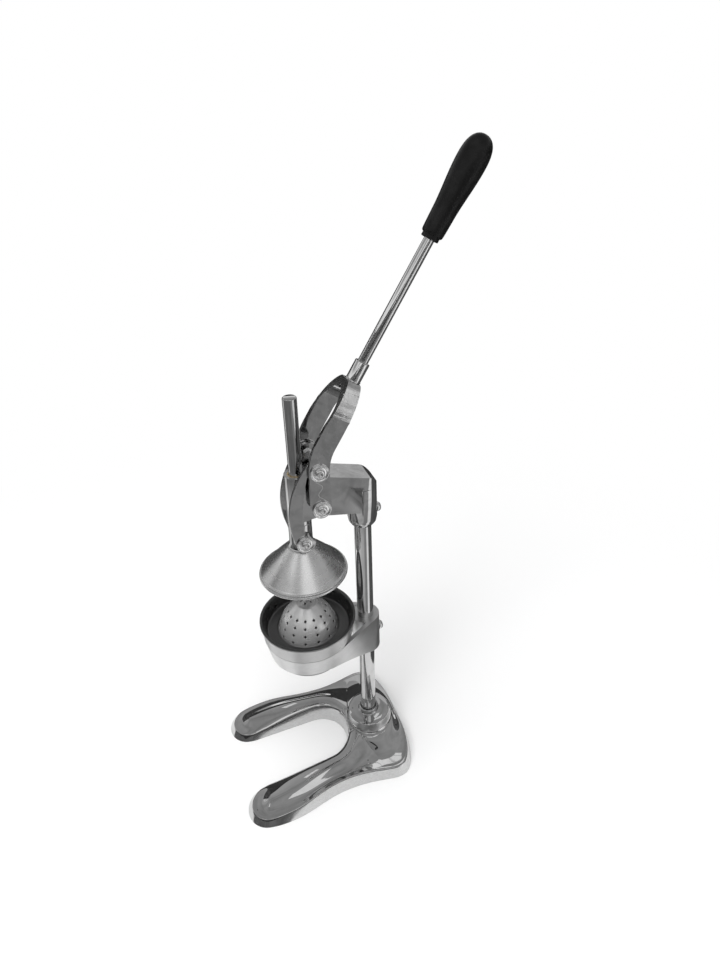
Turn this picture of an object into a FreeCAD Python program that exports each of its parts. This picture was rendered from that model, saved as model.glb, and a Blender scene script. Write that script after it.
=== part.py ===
import FreeCAD, Part

import math
import os

# Lever citrus juice press, in millimetres.
# Origin: where the column's axis meets the bench. -Y is the front, where the toes point.
# +X is the right-hand side of a person standing in front of it. +Z is up.

V = FreeCAD.Vector

# Fits
running_fit = 0.05
side_play = 0.3
seat_gap = 0.3

# Column and the press axis in front of it
column_radius = 10.0
column_bottom = 14.0
column_top = 402.0
press_reach = 73.0

# Foot
foot_width = 178.0
foot_front = 180.0
foot_back = 44.0
foot_wall = 14.0
foot_wall_draw = 5.5
foot_wall_draw_bay = 2.5
foot_deck = 16.0
foot_deck_inset = 14.0
foot_deck_inset_bay = 10.0
ridge_top = 24.0
# How far the ridge's four edges stand in from the bay's edge, and its half widths at the toes
ridge_bay_foot = 2.5
ridge_bay_top = 6.5
ridge_deck_top = 20.0
ridge_deck_foot = 32.0
ridge_toe_top = 7.0
ridge_toe_foot = 24.5
# Points on the sloping faces of the right toe: X, Y, Z
toe_middle = (62.0, -150.0, 14.4)
toe_front_edge = (62.0, -174.5, 8.0)
toe_outer_edge = (84.0, -150.0, 8.8)
toe_inner_edge = (41.0, -150.0, 10.0)
arm_outer_edge = (81.5, -100.0, 14.1)
arm_inner_edge = (44.0, -105.0, 20.0)
toe_slopes_start = -50.0
toe_radius = 27.0
arm_bulge = 1.5
arm_bulge_end = 45.0
waist_half_width = 78.5
waist_y = -58.0
back_corner_half_width = 86.0
back_corner_y = 13.0
back_corner_radius = 13.0
back_corner_depth = 18.9
back_corner_flat = 2.9
back_corner_draw = 0.4
bay_radius = 35.5
bay_setback = 3.0
boss_radius = 27.5
boss_flare_radius = 46.0
boss_foot_radius = 28.5
boss_foot = 21.5
boss_top = 36.0
boss_shoulder = 29.0
neck_radius = 12.5
neck_top = 44.0
foot_screw_radius = 4.0
foot_screw_length = 30.0
foot_screw_head_radius = 6.5
foot_screw_head_height = 4.0
foot_washer_radius = 10.0
foot_washer_thickness = 1.6
foot_recess_radius = 13.0
foot_recess_depth = 8.0

# Cup bracket
ring_top = 207.0
ring_bottom = 182.0
ring_radius = 53.0
ring_bottom_radius = 47.5
ring_wall = 3.4
bracket_boss_radius = 17.0
bracket_boss_bottom = 157.0
bracket_arm_wall = 5.0
bracket_rise_start = 3.4
bracket_rise_end = -63.5
bracket_screw_below_ring = 1.0

# Bowl
bowl_wall = 1.0
bowl_rim = 229.0
bowl_radius = 55.6
bowl_rim_radius = 57.0
bowl_floor_radius = 31.0
bowl_floor = 168.0
bowl_floor_fall = 2.0
bowl_bulge = 2.8
spout_radius = 9.0
spout_bottom = 159.0

# Strainer with the reamer dome
strainer_wall = 0.8
basket_floor = 213.0
basket_foot_radius = 49.0
basket_foot_inset = 0.5
dome_radius = 34.8
dome_shoulder_radius = 29.0
dome_shoulder = 231.5
dome_cap_radius = 11.0
dome_cap_bottom = 250.0
dome_top = 254.0
drain_hole_radius = 1.35
drain_columns = 14
drain_phase = 4.7
dome_hole_rows = ((34.0, 217.0, 12.0), (31.8, 225.9, 27.0), (27.8, 233.6, 36.0), (22.2, 240.2, 45.0))
wall_hole_heights = (218.5, 224.5)
cap_hole_ring = 6.0
cap_holes = 5
drill_depth = 8.0

# Pivots in the lever's plane
lever_pivot_y = -54.0
lever_pivot_z = 394.0
crank_radius = 45.0
hood_pivot_z = 350.0

# Sideways stack, from the middle plane outwards
nose_half_width = 13.0
head_half_width = 16.0
link_inside = 16.8
link_thickness = 4.0
cheek_gap = 0.7
cheek_thickness = 5.0

# Head casting
head_front_top = 426.0
head_back_top = 413.0
head_front_bottom = 377.0
head_back_bottom = 368.0
head_block_front = -46.0
head_crown_drop = 17.0
head_boss_radius = 17.0
head_boss_bottom = 346.0
guide_boss_radius = 13.0
guide_boss_top = 428.0
guide_boss_bottom = 368.5
nose_bottom = 372.5
head_screw_rise = 16.0
head_boss_round = 10.0

# Press rod, guide bush, hub and hood
rod_radius = 7.5
rod_top = 517.0
rod_bottom = 339.0
rod_chamfer = 0.8
bush_radius = 9.5
hub_radius = 13.0
hub_bottom = 336.0
cross_boss_radius = 10.0
hood_spigot_radius = 8.0
hood_rim = 299.0
hood_rim_radius = 50.4
hood_wall = 1.2
hood_bead_radius = 1.7
hood_bead_rise = 0.5
hood_land_radius = 15.0
hood_crown = 0.8
hood_nut_radius = 12.0
hood_nut_height = 6.0

# Lever fork
cheek_half_width = 11.0
fork_bend_above_crank = 15.0
fork_lean = 31.7
fork_bend_radius = 60.0
fork_shoulder = 44.0
fork_crown = 84.0
fork_crown_half_width = 9.5
fork_front_taper = 34.0
fork_bulge = 4.0
slot_crown_half_width = 1.0
slot_bulge = 3.5
crown_lip = 1.0
fork_taper_mid = 8.14
slot_shoulder = 44.0
slot_crown = 76.0

# Handle
handle_setback = 4.6
collar_radius = 8.0
collar_length = 22.0
collar_start = 77.5
handle_rod_radius = 5.5
grip_start = 243.0
grip_length = 107.0
grip_ring_radius = 9.2
grip_ring_length = 4.5
# Share of the grip's length and the radius there
grip_swell = ((0.051, 11.2), (0.3, 12.1), (0.52, 14.2), (0.74, 15.6), (0.91, 13.1), (0.98, 7.8), (1.0, 0.0))
grip_bore_depth = 62.0
rod_socket_depth = 16.0

# Links
link_top_eye_radius = 13.0
link_low_eye_radius = 10.0
link_front_bulge = 87.8
link_back_bulge = 72.5
link_bulge_height = 393.0
link_front_turn = 45.0
link_back_turn = 26.0

# Screws, pins and washers
pin_radius = 4.5
crank_pin_radius = 4.0
screw_radius = 2.5
screw_depth = 9.0
cup_washer_radius = 10.0
cup_washer_thickness = 1.6
cup_washer_rim = 2.2
cup_washer_dish = 7.4
screw_head_radius = 5.2
screw_head_height = 3.6
screw_head_side = 1.6
screw_head_flat_radius = 2.6
socket_radius = 2.2
socket_depth = 2.0
crank_nut_radius = 5.6
set_screw_radius = 3.0
set_screw_dome_radius = 5.6
set_screw_dome_height = 5.0
set_screw_rim = 1.2
set_screw_flat_radius = 2.8
spacer_radius = 8.0

# Cutting lengths, longer than anything they cut
cut_across = 60.0
cut_tall = 200.0

# Worked out from the sizes above
diagonal_share = 0.7
crank_z = lever_pivot_z + crank_radius
cheek_inside = link_inside + link_thickness + cheek_gap
cheek_outside = cheek_inside + cheek_thickness
link_outside = link_inside + link_thickness
press_y = -press_reach
bay_y = press_y + bay_setback
lever_pivot = V(0, lever_pivot_y, lever_pivot_z)
crank_pivot = V(0, lever_pivot_y, crank_z)
hood_pivot = V(0, press_y, hood_pivot_z)
fork_bend = V(0, lever_pivot_y, crank_z + fork_bend_above_crank)
lean = math.radians(fork_lean)
along = V(0, math.sin(lean), math.cos(lean))
behind = V(0, math.cos(lean), -math.sin(lean))
bowl_shoulder = ring_top + seat_gap
bracket_screw_height = ring_bottom - bracket_screw_below_ring
head_screw_height = head_boss_bottom + head_screw_rise
hub_top = guide_boss_bottom - seat_gap

X = V(1, 0, 0)
Y = V(0, 1, 0)
Z = V(0, 0, 1)


def cylinder(radius, length, base, axis=Z):
    return Part.makeCylinder(radius, length, base, axis)


def cross_cylinder(radius, x_from, x_to, centre):
    return cylinder(radius, x_to - x_from, V(x_from, centre.y, centre.z), X)


def fused(shapes):
    body = shapes[0]
    for shape in shapes[1:]:
        body = body.fuse(shape)
    return body.removeSplitter()


def mirrored(shape):
    return shape.mirror(V(0, 0, 0), X)


def pair(shape):
    return Part.makeCompound([shape, mirrored(shape)])


def line(a, b):
    return Part.LineSegment(a, b).toShape()


def arc(a, b, c):
    return Part.Arc(a, b, c).toShape()


def face_of(edges):
    return Part.Face(Part.Wire(edges))


def polygon(corners):
    return face_of([line(a, b) for a, b in zip(corners, corners[1:] + corners[:1])])


def turned(edges, y_centre=0.0):
    """Solid turned about the vertical axis at y_centre, from a profile in the XZ plane."""
    body = face_of(edges).revolve(V(0, 0, 0), Z, 360)
    body.translate(V(0, y_centre, 0))
    return body


def turned_outline(points, y_centre=0.0):
    """Turned solid with straight profile lines through (radius, height) points."""
    corners = [V(r, 0, z) for r, z in points]
    return turned([line(a, b) for a, b in zip(corners, corners[1:] + corners[:1])], y_centre)


def plate(face, x_from, x_to):
    """Thick plate from a face in the plane X = 0."""
    moved = face.copy()
    moved.translate(V(x_from, 0, 0))
    return moved.extrude(V(x_to - x_from, 0, 0))


def export(shape, node):
    shape.exportStep("parts/" + node + ".step")


# Foot


def foot_outline(inset, bay_inset, z):
    """Plan outline of the U-shaped foot at height z, drawn in all round and less in the bay."""
    toe_x = foot_width / 2 - toe_radius
    toe_y = -(foot_front - toe_radius)
    toe = toe_radius - inset
    inside = bay_radius + bay_inset
    # The wall leans in more at the back corners than along the arms.
    extra = min(inset, foot_wall_draw) * back_corner_draw
    corner_x = back_corner_half_width - inset
    corner_end_y = back_corner_y + back_corner_depth - inset - extra
    corner_end = V(corner_x - back_corner_radius - extra, corner_end_y, z)
    corner_mid_y = back_corner_y + back_corner_radius - diagonal_share * inset - extra
    corner_mid = V(corner_x - back_corner_flat - extra, corner_mid_y, z)
    diagonal = toe * math.sqrt(0.5)
    toe_outside = V(toe_x + toe, toe_y, z)
    arm_side = V(toe_outside.x - arm_bulge, toe_y + arm_bulge_end, z)
    toe_front = V(toe_x, toe_y - toe, z)
    toe_inside = V(toe_x - toe - inset + bay_inset, toe_y, z)
    toe_inside_mid = V(toe_x - diagonal, toe_y - diagonal, z)
    right = [
        line(V(inside, bay_y, z), toe_inside),
        arc(toe_inside, toe_inside_mid, toe_front),
        arc(toe_front, V(toe_x + diagonal, toe_y - diagonal, z), toe_outside),
        arc(toe_outside, V(toe_outside.x + arm_bulge, toe_y + arm_bulge_end / 2, z), arm_side),
        arc(arm_side, V(waist_half_width - inset, waist_y, z), V(corner_x, back_corner_y, z)),
        arc(V(corner_x, back_corner_y, z), corner_mid, corner_end),
    ]
    back = arc(corner_end, V(0, foot_back - inset, z), V(-corner_end.x, corner_end.y, z))
    left = [mirrored(edge) for edge in reversed(right)]
    bay = arc(V(-inside, bay_y, z), V(0, bay_y + inside, z), V(inside, bay_y, z))
    return Part.Wire(right + [back] + left + [bay])


def ridge_outline(bay_side, deck_side, toe_half, z):
    """Plan outline of the ridge at height z: round the bay, along both arms and round the toes."""
    inside = bay_radius + bay_side
    outside = bay_radius + deck_side
    toe_x = foot_width / 2 - toe_radius
    toe_y = -(foot_front - toe_radius)
    right = [
        line(V(inside, bay_y, z), V(toe_x - toe_half, toe_y, z)),
        arc(V(toe_x - toe_half, toe_y, z), V(toe_x, toe_y - toe_half, z), V(toe_x + toe_half, toe_y, z)),
        line(V(toe_x + toe_half, toe_y, z), V(outside, bay_y, z)),
    ]
    back = arc(V(outside, bay_y, z), V(0, bay_y + outside, z), V(-outside, bay_y, z))
    left = [mirrored(edge) for edge in reversed(right)]
    bay = arc(V(-inside, bay_y, z), V(0, bay_y + inside, z), V(inside, bay_y, z))
    return Part.Wire(right + [back] + left + [bay])


def over_plane(first, second, third):
    """Block that lies over the plane through three points."""
    a, b, c = V(*first), V(*second), V(*third)
    normal = (b - a).cross(c - a)
    if normal.z < 0:
        normal = normal * -1
    block = Part.makeBox(2 * cut_tall, 2 * cut_tall, cut_across, V(-cut_tall, -cut_tall, 0))
    block.Placement = FreeCAD.Placement(a, FreeCAD.Rotation(Z, normal))
    return block


def over_toes():
    """What the sloping faces cut away over both toes."""
    front_beside = (toe_front_edge[0] + toe_radius, toe_front_edge[1], toe_front_edge[2])
    zone_length = foot_front + toe_slopes_start
    corner = V(bay_radius, -foot_front, 0)
    zone = Part.makeBox(foot_width / 2, zone_length, cut_across, corner)
    right = fused([
        over_plane(toe_middle, toe_front_edge, front_beside).common(zone),
        over_plane(toe_middle, toe_outer_edge, arm_outer_edge).common(zone),
        over_plane(toe_middle, toe_inner_edge, arm_inner_edge).common(zone),
    ])
    return [right, mirrored(right)]


def base_foot():
    bench_outline = foot_outline(0, 0, 0)
    edge_outline = foot_outline(foot_wall_draw, foot_wall_draw_bay, foot_wall)
    deck_outline = foot_outline(foot_deck_inset, foot_deck_inset_bay, foot_deck)
    wall = Part.makeLoft([bench_outline, edge_outline], True, True)
    deck = Part.makeLoft([edge_outline, deck_outline], True, True)
    ridge_foot_outline = ridge_outline(ridge_bay_foot, ridge_deck_foot, ridge_toe_foot, foot_wall)
    ridge_top_outline = ridge_outline(ridge_bay_top, ridge_deck_top, ridge_toe_top, ridge_top)
    ridge = Part.makeLoft([ridge_foot_outline, ridge_top_outline], True, True)
    # The flare round the boss stays within the wall's edge at the back.
    flare = turned_outline([(0, foot_wall), (boss_flare_radius, foot_wall), (boss_foot_radius, boss_foot),
                            (0, boss_foot)])
    inset_at_top = foot_wall_draw + boss_foot - foot_wall
    flare_top = foot_outline(inset_at_top, inset_at_top, boss_foot)
    flare = flare.common(Part.makeLoft([edge_outline, flare_top], True, True))
    boss = turned_outline([
        (0, foot_wall), (boss_foot_radius, foot_wall), (boss_foot_radius, boss_foot),
        (boss_radius, boss_shoulder),
        (boss_radius, boss_top - 1), (boss_radius - 1, boss_top), (neck_radius, boss_top + 1),
        (neck_radius, neck_top), (0, neck_top),
    ])
    body = fused([wall, deck, ridge])
    for block in over_toes():
        body = body.cut(block)
    body = fused([body, flare, boss])
    body = body.cut(cylinder(column_radius, neck_top, V(0, 0, column_bottom)))
    body = body.cut(cylinder(foot_recess_radius, foot_recess_depth, V(0, 0, 0)))
    return body.cut(cylinder(foot_screw_radius, column_bottom, V(0, 0, 0)))


def column():
    body = cylinder(column_radius, column_top - column_bottom, V(0, 0, column_bottom))
    body = body.makeChamfer(rod_chamfer, [edge for edge in body.Edges if edge.Closed])
    return body.cut(cylinder(foot_screw_radius, foot_screw_length, V(0, 0, 0)))


def column_foot_washer():
    top = foot_recess_depth
    washer = cylinder(foot_washer_radius, foot_washer_thickness, V(0, 0, top - foot_washer_thickness))
    return washer.cut(cylinder(foot_screw_radius, top, V(0, 0, 0)))


def column_foot_screw():
    under_head = foot_recess_depth - foot_washer_thickness
    shank = cylinder(foot_screw_radius, foot_screw_length - under_head, V(0, 0, under_head))
    head_bottom = V(0, 0, under_head - foot_screw_head_height)
    head = hexagon(foot_screw_head_radius, foot_screw_head_height, head_bottom, Z)
    return fused([shank, head])


def hexagon(radius, length, base, axis):
    """Six-sided bar with corners at the given radius."""
    turns = [math.radians(60 * corner) for corner in range(6)]
    bar = polygon([V(radius * math.cos(turn), radius * math.sin(turn), 0) for turn in turns])
    bar = bar.extrude(V(0, 0, length))
    bar.Placement = FreeCAD.Placement(base, FreeCAD.Rotation(Z, axis))
    return bar


# Cup bracket, bowl and strainer


def teardrop(front_radius, back_radius, z):
    """Closed plan outline round two circles, the front one on the press axis, the back one on
    the column."""
    lean_angle = math.asin((front_radius - back_radius) / press_reach)
    across = math.cos(lean_angle)
    ahead = math.sin(lean_angle)
    front = V(front_radius * across, press_y + front_radius * ahead, z)
    back = V(back_radius * across, back_radius * ahead, z)
    front_left = V(-front.x, front.y, z)
    back_left = V(-back.x, back.y, z)
    return Part.Wire([
        line(front, back),
        arc(back, V(0, back_radius, z), back_left),
        line(back_left, front_left),
        arc(front_left, V(0, press_y - front_radius, z), front),
    ])


def cup_bracket():
    taper = (ring_radius - ring_bottom_radius) / (ring_top - ring_bottom)
    height = ring_top - bracket_boss_bottom
    low_radius = ring_radius - taper * height
    hull = Part.makeLoft([teardrop(low_radius, bracket_boss_radius, bracket_boss_bottom),
                          teardrop(ring_radius, bracket_boss_radius, ring_top)], True, True)
    # The underside rises from the clamp boss to the ring.
    below_boss = bracket_boss_bottom - 1
    ahead_of_ring = press_y - ring_radius - 1
    below = polygon([V(0, bracket_rise_start, bracket_boss_bottom), V(0, bracket_rise_end, ring_bottom),
                     V(0, ahead_of_ring, ring_bottom), V(0, ahead_of_ring, below_boss),
                     V(0, bracket_rise_start, below_boss)])
    hull = hull.cut(plate(below, -foot_width, foot_width))
    # Open pocket between the ring and the clamp boss.
    pocket = Part.makeLoft([
        teardrop(low_radius - bracket_arm_wall, bracket_boss_radius - bracket_arm_wall, below_boss),
        teardrop(ring_radius - bracket_arm_wall, bracket_boss_radius - bracket_arm_wall, ring_top + 1),
    ], True, True)
    boss = cylinder(bracket_boss_radius, height, V(0, 0, bracket_boss_bottom))
    inner_top = ring_radius - ring_wall
    inner_low = inner_top - taper * (ring_top - ring_bottom)
    ring = turned_outline([
        (inner_low, ring_bottom), (ring_bottom_radius, ring_bottom), (ring_radius, ring_top),
        (inner_top, ring_top),
    ], press_y)
    bore = turned_outline([
        (0, below_boss), (inner_low, below_boss), (inner_low, ring_bottom), (inner_top, ring_top),
        (inner_top, ring_top + 1), (0, ring_top + 1),
    ], press_y)
    body = fused([hull.cut(pocket), boss, ring]).cut(bore)
    body = body.cut(cylinder(column_radius, height, V(0, 0, bracket_boss_bottom)))
    return body.cut(set_screw_bore(bracket_screw_height))


def set_screw_bore(height):
    return cylinder(set_screw_radius, cut_across, V(0, column_radius - 1, height), Y)


def set_screw(height, seat):
    """Domed screw that clamps against the back of the column; seat is where its cap sits."""
    start = column_radius - seat
    dome_foot = V(set_screw_dome_radius, 0, set_screw_rim)
    dome_top_edge = V(set_screw_flat_radius, 0, set_screw_dome_height)
    dome_mid = V(set_screw_dome_radius * 0.82, 0, set_screw_dome_height * 0.74)
    edges = [
        line(V(0, 0, start), V(set_screw_radius, 0, start)),
        line(V(set_screw_radius, 0, start), V(set_screw_radius, 0, 0)),
        line(V(set_screw_radius, 0, 0), V(set_screw_dome_radius, 0, 0)),
        line(V(set_screw_dome_radius, 0, 0), dome_foot),
        arc(dome_foot, dome_mid, dome_top_edge),
        line(dome_top_edge, V(0, 0, set_screw_dome_height)),
        line(V(0, 0, set_screw_dome_height), V(0, 0, start)),
    ]
    body = face_of(edges).revolve(V(0, 0, 0), Z, 360)
    body.Placement = FreeCAD.Placement(V(0, seat, height), FreeCAD.Rotation(Z, Y))
    return body


def bowl():
    wall = bowl_wall
    taper = (ring_radius - ring_bottom_radius) / (ring_top - ring_bottom)
    body_top = ring_radius - ring_wall - seat_gap
    body_low = body_top - taper * (ring_top - ring_bottom)
    outer = [
        V(bowl_rim_radius, 0, bowl_rim - 2 * wall), V(bowl_radius, 0, bowl_rim - 2 * wall),
        V(ring_radius + seat_gap, 0, bowl_shoulder), V(body_top, 0, bowl_shoulder),
        V(body_low, 0, ring_bottom),
    ]
    middle_radius = (body_low + bowl_floor_radius) / 2
    middle_height = (ring_bottom + bowl_floor) / 2
    bulge = V(middle_radius + bowl_bulge, 0, middle_height - bowl_bulge)
    floor_edge = V(bowl_floor_radius, 0, bowl_floor)
    spout_top = bowl_floor - bowl_floor_fall
    tail = [
        floor_edge, V(spout_radius, 0, spout_top), V(spout_radius, 0, spout_bottom),
        V(spout_radius - wall, 0, spout_bottom), V(spout_radius - wall, 0, spout_top + wall),
        V(bowl_floor_radius, 0, bowl_floor + wall),
    ]
    inner_low = V(body_low - wall, 0, ring_bottom)
    inner_bulge = bulge + V(-diagonal_share * wall, 0, diagonal_share * wall)
    inner = [
        inner_low, V(body_top - wall, 0, bowl_shoulder + wall),
        V(ring_radius + seat_gap - wall, 0, bowl_shoulder + wall), V(bowl_radius - wall, 0, bowl_rim),
        V(bowl_rim_radius, 0, bowl_rim), outer[0],
    ]
    edges = [line(a, b) for a, b in zip(outer, outer[1:])]
    edges.append(arc(outer[-1], bulge, floor_edge))
    edges += [line(a, b) for a, b in zip(tail, tail[1:])]
    edges.append(arc(tail[-1], inner_bulge, inner_low))
    edges += [line(a, b) for a, b in zip(inner, inner[1:])]
    return turned(edges, press_y)


def strainer():
    wall = strainer_wall
    flange = bowl_rim + seat_gap
    basket_radius = bowl_radius - bowl_wall - 2 * seat_gap
    shoulder = V(dome_shoulder_radius, 0, dome_shoulder)
    cap_edge = V(dome_cap_radius, 0, dome_cap_bottom)
    outer = [
        V(bowl_rim_radius, 0, flange + wall), V(bowl_rim_radius, 0, flange), V(basket_radius, 0, flange),
        V(basket_foot_radius, 0, basket_floor), V(dome_radius, 0, basket_floor),
    ]
    under = [line(a, b) for a, b in zip(outer, outer[1:])]
    under.append(arc(outer[-1], shoulder, cap_edge))
    under.append(line(cap_edge, V(0, 0, dome_top)))
    top = [V(0, 0, dome_top + wall), V(dome_cap_radius + side_play, 0, dome_cap_bottom + wall)]
    over = [line(V(0, 0, dome_top), top[0]), line(top[0], top[1])]
    floor_in = V(dome_radius + wall, 0, basket_floor + wall)
    shoulder_shift = diagonal_share * wall
    over.append(arc(top[1], shoulder + V(shoulder_shift, 0, shoulder_shift), floor_in))
    foot_in = V(basket_foot_radius - basket_foot_inset, 0, basket_floor + wall)
    rim_in = [floor_in, foot_in, V(basket_radius - wall, 0, flange + wall), outer[0]]
    over += [line(a, b) for a, b in zip(rim_in, rim_in[1:])]
    body = turned(under + over, press_y)
    drills = []
    centre = V(0, press_y, 0)
    for column_number in range(drain_columns):
        turn = math.radians(drain_phase + column_number * 360.0 / drain_columns)
        outward = V(math.cos(turn), math.sin(turn), 0)
        for radius, height, tilt in dome_hole_rows:
            rise = math.radians(tilt)
            direction = outward * math.cos(rise) + Z * math.sin(rise)
            start = centre + outward * radius + Z * height - direction * drill_depth / 2
            drills.append(cylinder(drain_hole_radius, drill_depth, start, direction))
        for row, height in enumerate(wall_hole_heights):
            shifted = turn + math.pi / drain_columns * (row + 0.5)
            outward_wall = V(math.cos(shifted), math.sin(shifted), 0)
            start = centre + outward_wall * (basket_foot_radius - drill_depth / 4) + Z * height
            drills.append(cylinder(drain_hole_radius, drill_depth + 2, start, outward_wall))
    for number in range(cap_holes):
        turn = math.radians(drain_phase + number * 360.0 / cap_holes)
        outward = V(math.cos(turn), math.sin(turn), 0)
        start = centre + outward * cap_hole_ring + Z * (dome_cap_bottom - drill_depth / 4)
        drills.append(cylinder(drain_hole_radius, drill_depth + 2, start))
    return body.cut(drills)


# Head casting, press rod and hood


def head_casting():
    top = [V(0, head_block_front, head_front_top), V(0, 2, head_back_top)]
    crown_end = V(0, head_boss_radius, head_back_top - head_crown_drop)
    crown_mid = V(0, head_boss_radius * 0.7, head_back_top - head_crown_drop * 0.36)
    side = [
        line(top[0], top[1]),
        arc(top[1], crown_mid, crown_end),
        line(crown_end, V(0, head_boss_radius, head_back_bottom)),
        line(V(0, head_boss_radius, head_back_bottom), V(0, 0, head_back_bottom)),
        line(V(0, 0, head_back_bottom), V(0, head_block_front, head_front_bottom)),
        line(V(0, head_block_front, head_front_bottom), top[0]),
    ]
    block = plate(face_of(side), -head_half_width, head_half_width)
    # The back of the block is round about the column.
    corner = V(-head_half_width, head_block_front, head_boss_bottom)
    plan = fused([
        cylinder(head_boss_radius, cut_tall, V(0, 0, head_boss_bottom)),
        Part.makeBox(2 * head_half_width, -head_block_front, cut_tall, corner),
    ])
    block = block.common(plan)
    boss = turned_outline([
        (0, head_boss_bottom), (head_boss_radius - 4, head_boss_bottom),
        (head_boss_radius - 1.2, head_boss_bottom + 4),
        (head_boss_radius, head_boss_bottom + head_boss_round),
        (head_boss_radius, column_top - 5), (0, column_top - 5),
    ])
    guide_height = guide_boss_top - guide_boss_bottom
    guide = cylinder(guide_boss_radius, guide_height, V(0, press_y, guide_boss_bottom))
    nose_side = polygon([V(0, press_y, guide_boss_top), V(0, head_block_front, guide_boss_top),
                         V(0, head_block_front, head_front_bottom), V(0, press_y, nose_bottom)])
    nose = plate(nose_side, -nose_half_width, nose_half_width)
    body = fused([block, boss, guide, nose])
    body = body.cut(cylinder(column_radius, column_top - head_boss_bottom, V(0, 0, head_boss_bottom)))
    body = body.cut(cylinder(bush_radius, cut_tall, V(0, press_y, head_boss_bottom)))
    body = body.cut(cross_cylinder(pin_radius, -cut_across, cut_across, lever_pivot))
    return body.cut(set_screw_bore(head_screw_height))


def guide_bush():
    height = guide_boss_top - guide_boss_bottom
    body = cylinder(bush_radius, height, V(0, press_y, guide_boss_bottom))
    return body.cut(cylinder(rod_radius + running_fit, height, V(0, press_y, guide_boss_bottom)))


def press_rod():
    body = cylinder(rod_radius, rod_top - rod_bottom, V(0, press_y, rod_bottom))
    body = body.makeChamfer(rod_chamfer, [edge for edge in body.Edges if edge.Closed])
    return body.cut(cross_cylinder(pin_radius, -cut_across, cut_across, hood_pivot))


def hood_hub():
    body = turned_outline([
        (0, hub_bottom), (hood_land_radius, hub_bottom), (hood_land_radius, hub_bottom + 1.5),
        (hub_radius, hub_bottom + 6), (hub_radius, hub_top - 1), (hub_radius - 1, hub_top), (0, hub_top),
    ], press_y)
    spigot_length = hood_wall + hood_nut_height
    spigot = cylinder(hood_spigot_radius, spigot_length, V(0, press_y, hub_bottom - spigot_length))
    cross = cross_cylinder(cross_boss_radius, -link_inside + side_play, link_inside - side_play, hood_pivot)
    body = fused([body, spigot, cross])
    body = body.cut(cylinder(rod_radius, hub_top, V(0, press_y, rod_bottom)))
    return body.cut(cross_cylinder(pin_radius, -cut_across, cut_across, hood_pivot))


def hood():
    top = hub_bottom
    land = V(hood_land_radius, 0, top)
    foot = V(hood_rim_radius - hood_bead_radius, 0, hood_rim + hood_wall)
    thick = hood_wall
    edge_shift = V(thick * 0.8, 0, thick * 0.8)
    middle = V((land.x + foot.x) / 2, 0, (land.z + foot.z) / 2 + hood_crown)
    low_land = V(hood_land_radius - thick * 0.4, 0, top - thick)
    low_middle = middle - V(thick * diagonal_share, 0, thick * diagonal_share)
    edges = [
        line(V(hood_spigot_radius, 0, top - thick), V(hood_spigot_radius, 0, top)),
        line(V(hood_spigot_radius, 0, top), land),
        arc(land, middle, foot),
        line(foot, foot - edge_shift),
        arc(foot - edge_shift, low_middle, low_land),
        line(low_land, V(hood_spigot_radius, 0, top - thick)),
    ]
    shell = turned(edges, press_y)
    bead_centre = V(0, press_y, hood_rim + hood_bead_rise)
    bead = Part.makeTorus(hood_rim_radius - hood_bead_radius, hood_bead_radius, bead_centre)
    return fused([shell, bead])


def hood_nut():
    top = hub_bottom - hood_wall
    nut = hexagon(hood_nut_radius, hood_nut_height, V(0, press_y, top - hood_nut_height), Z)
    return nut.cut(cylinder(hood_spigot_radius, hood_nut_height, V(0, press_y, top - hood_nut_height)))


# Lever fork, handle and links


def lever_point(distance, setback=0.0):
    return fork_bend + along * distance + behind * setback


def fork_side():
    """Side outline of the fork: round lower end, straight cheek, bend, leaning upper part."""
    half = cheek_half_width
    tangent = fork_bend_radius * math.tan(lean / 2)
    bend_low = fork_bend - Z * tangent
    bend_high = fork_bend + along * tangent
    centre = bend_low + Y * fork_bend_radius
    middle = V(0, -math.cos(lean / 2), math.sin(lean / 2))
    crown_front = handle_setback - collar_radius - crown_lip
    front = [lever_pivot - Y * half, bend_low - Y * half, centre + middle * (fork_bend_radius + half),
             bend_high - behind * half, lever_point(fork_front_taper, -half),
             lever_point(fork_crown, crown_front)]
    taper_mid = lever_point((fork_front_taper + fork_crown) / 2, -fork_taper_mid)
    back = [lever_pivot + Y * half, bend_low + Y * half, centre + middle * (fork_bend_radius - half),
            bend_high + behind * half, lever_point(fork_crown, half)]
    edges = [
        arc(back[0], lever_pivot - Z * half, front[0]),
        line(front[0], front[1]),
        arc(front[1], front[2], front[3]),
        line(front[3], front[4]),
        arc(front[4], taper_mid, front[5]),
        line(front[5], back[4]),
        line(back[4], back[3]),
        arc(back[3], back[2], back[1]),
        line(back[1], back[0]),
    ]
    return face_of(edges)


def fork_plan(half, shoulder, crown, crown_half, bulge):
    """Prism across the fork, seen square to the leaning part."""
    def place(x, distance):
        return lever_point(distance, -cut_tall) + X * x
    bulge_x = (half + crown_half) / 2 + bulge
    bulge_at = (shoulder + crown) / 2 + bulge
    edges = [
        line(place(-half, -cut_tall), place(half, -cut_tall)),
        line(place(half, -cut_tall), place(half, shoulder)),
        arc(place(half, shoulder), place(bulge_x, bulge_at), place(crown_half, crown)),
        line(place(crown_half, crown), place(-crown_half, crown)),
        arc(place(-crown_half, crown), place(-bulge_x, bulge_at), place(-half, shoulder)),
        line(place(-half, shoulder), place(-half, -cut_tall)),
    ]
    return face_of(edges).extrude(behind * 2 * cut_tall)


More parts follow.
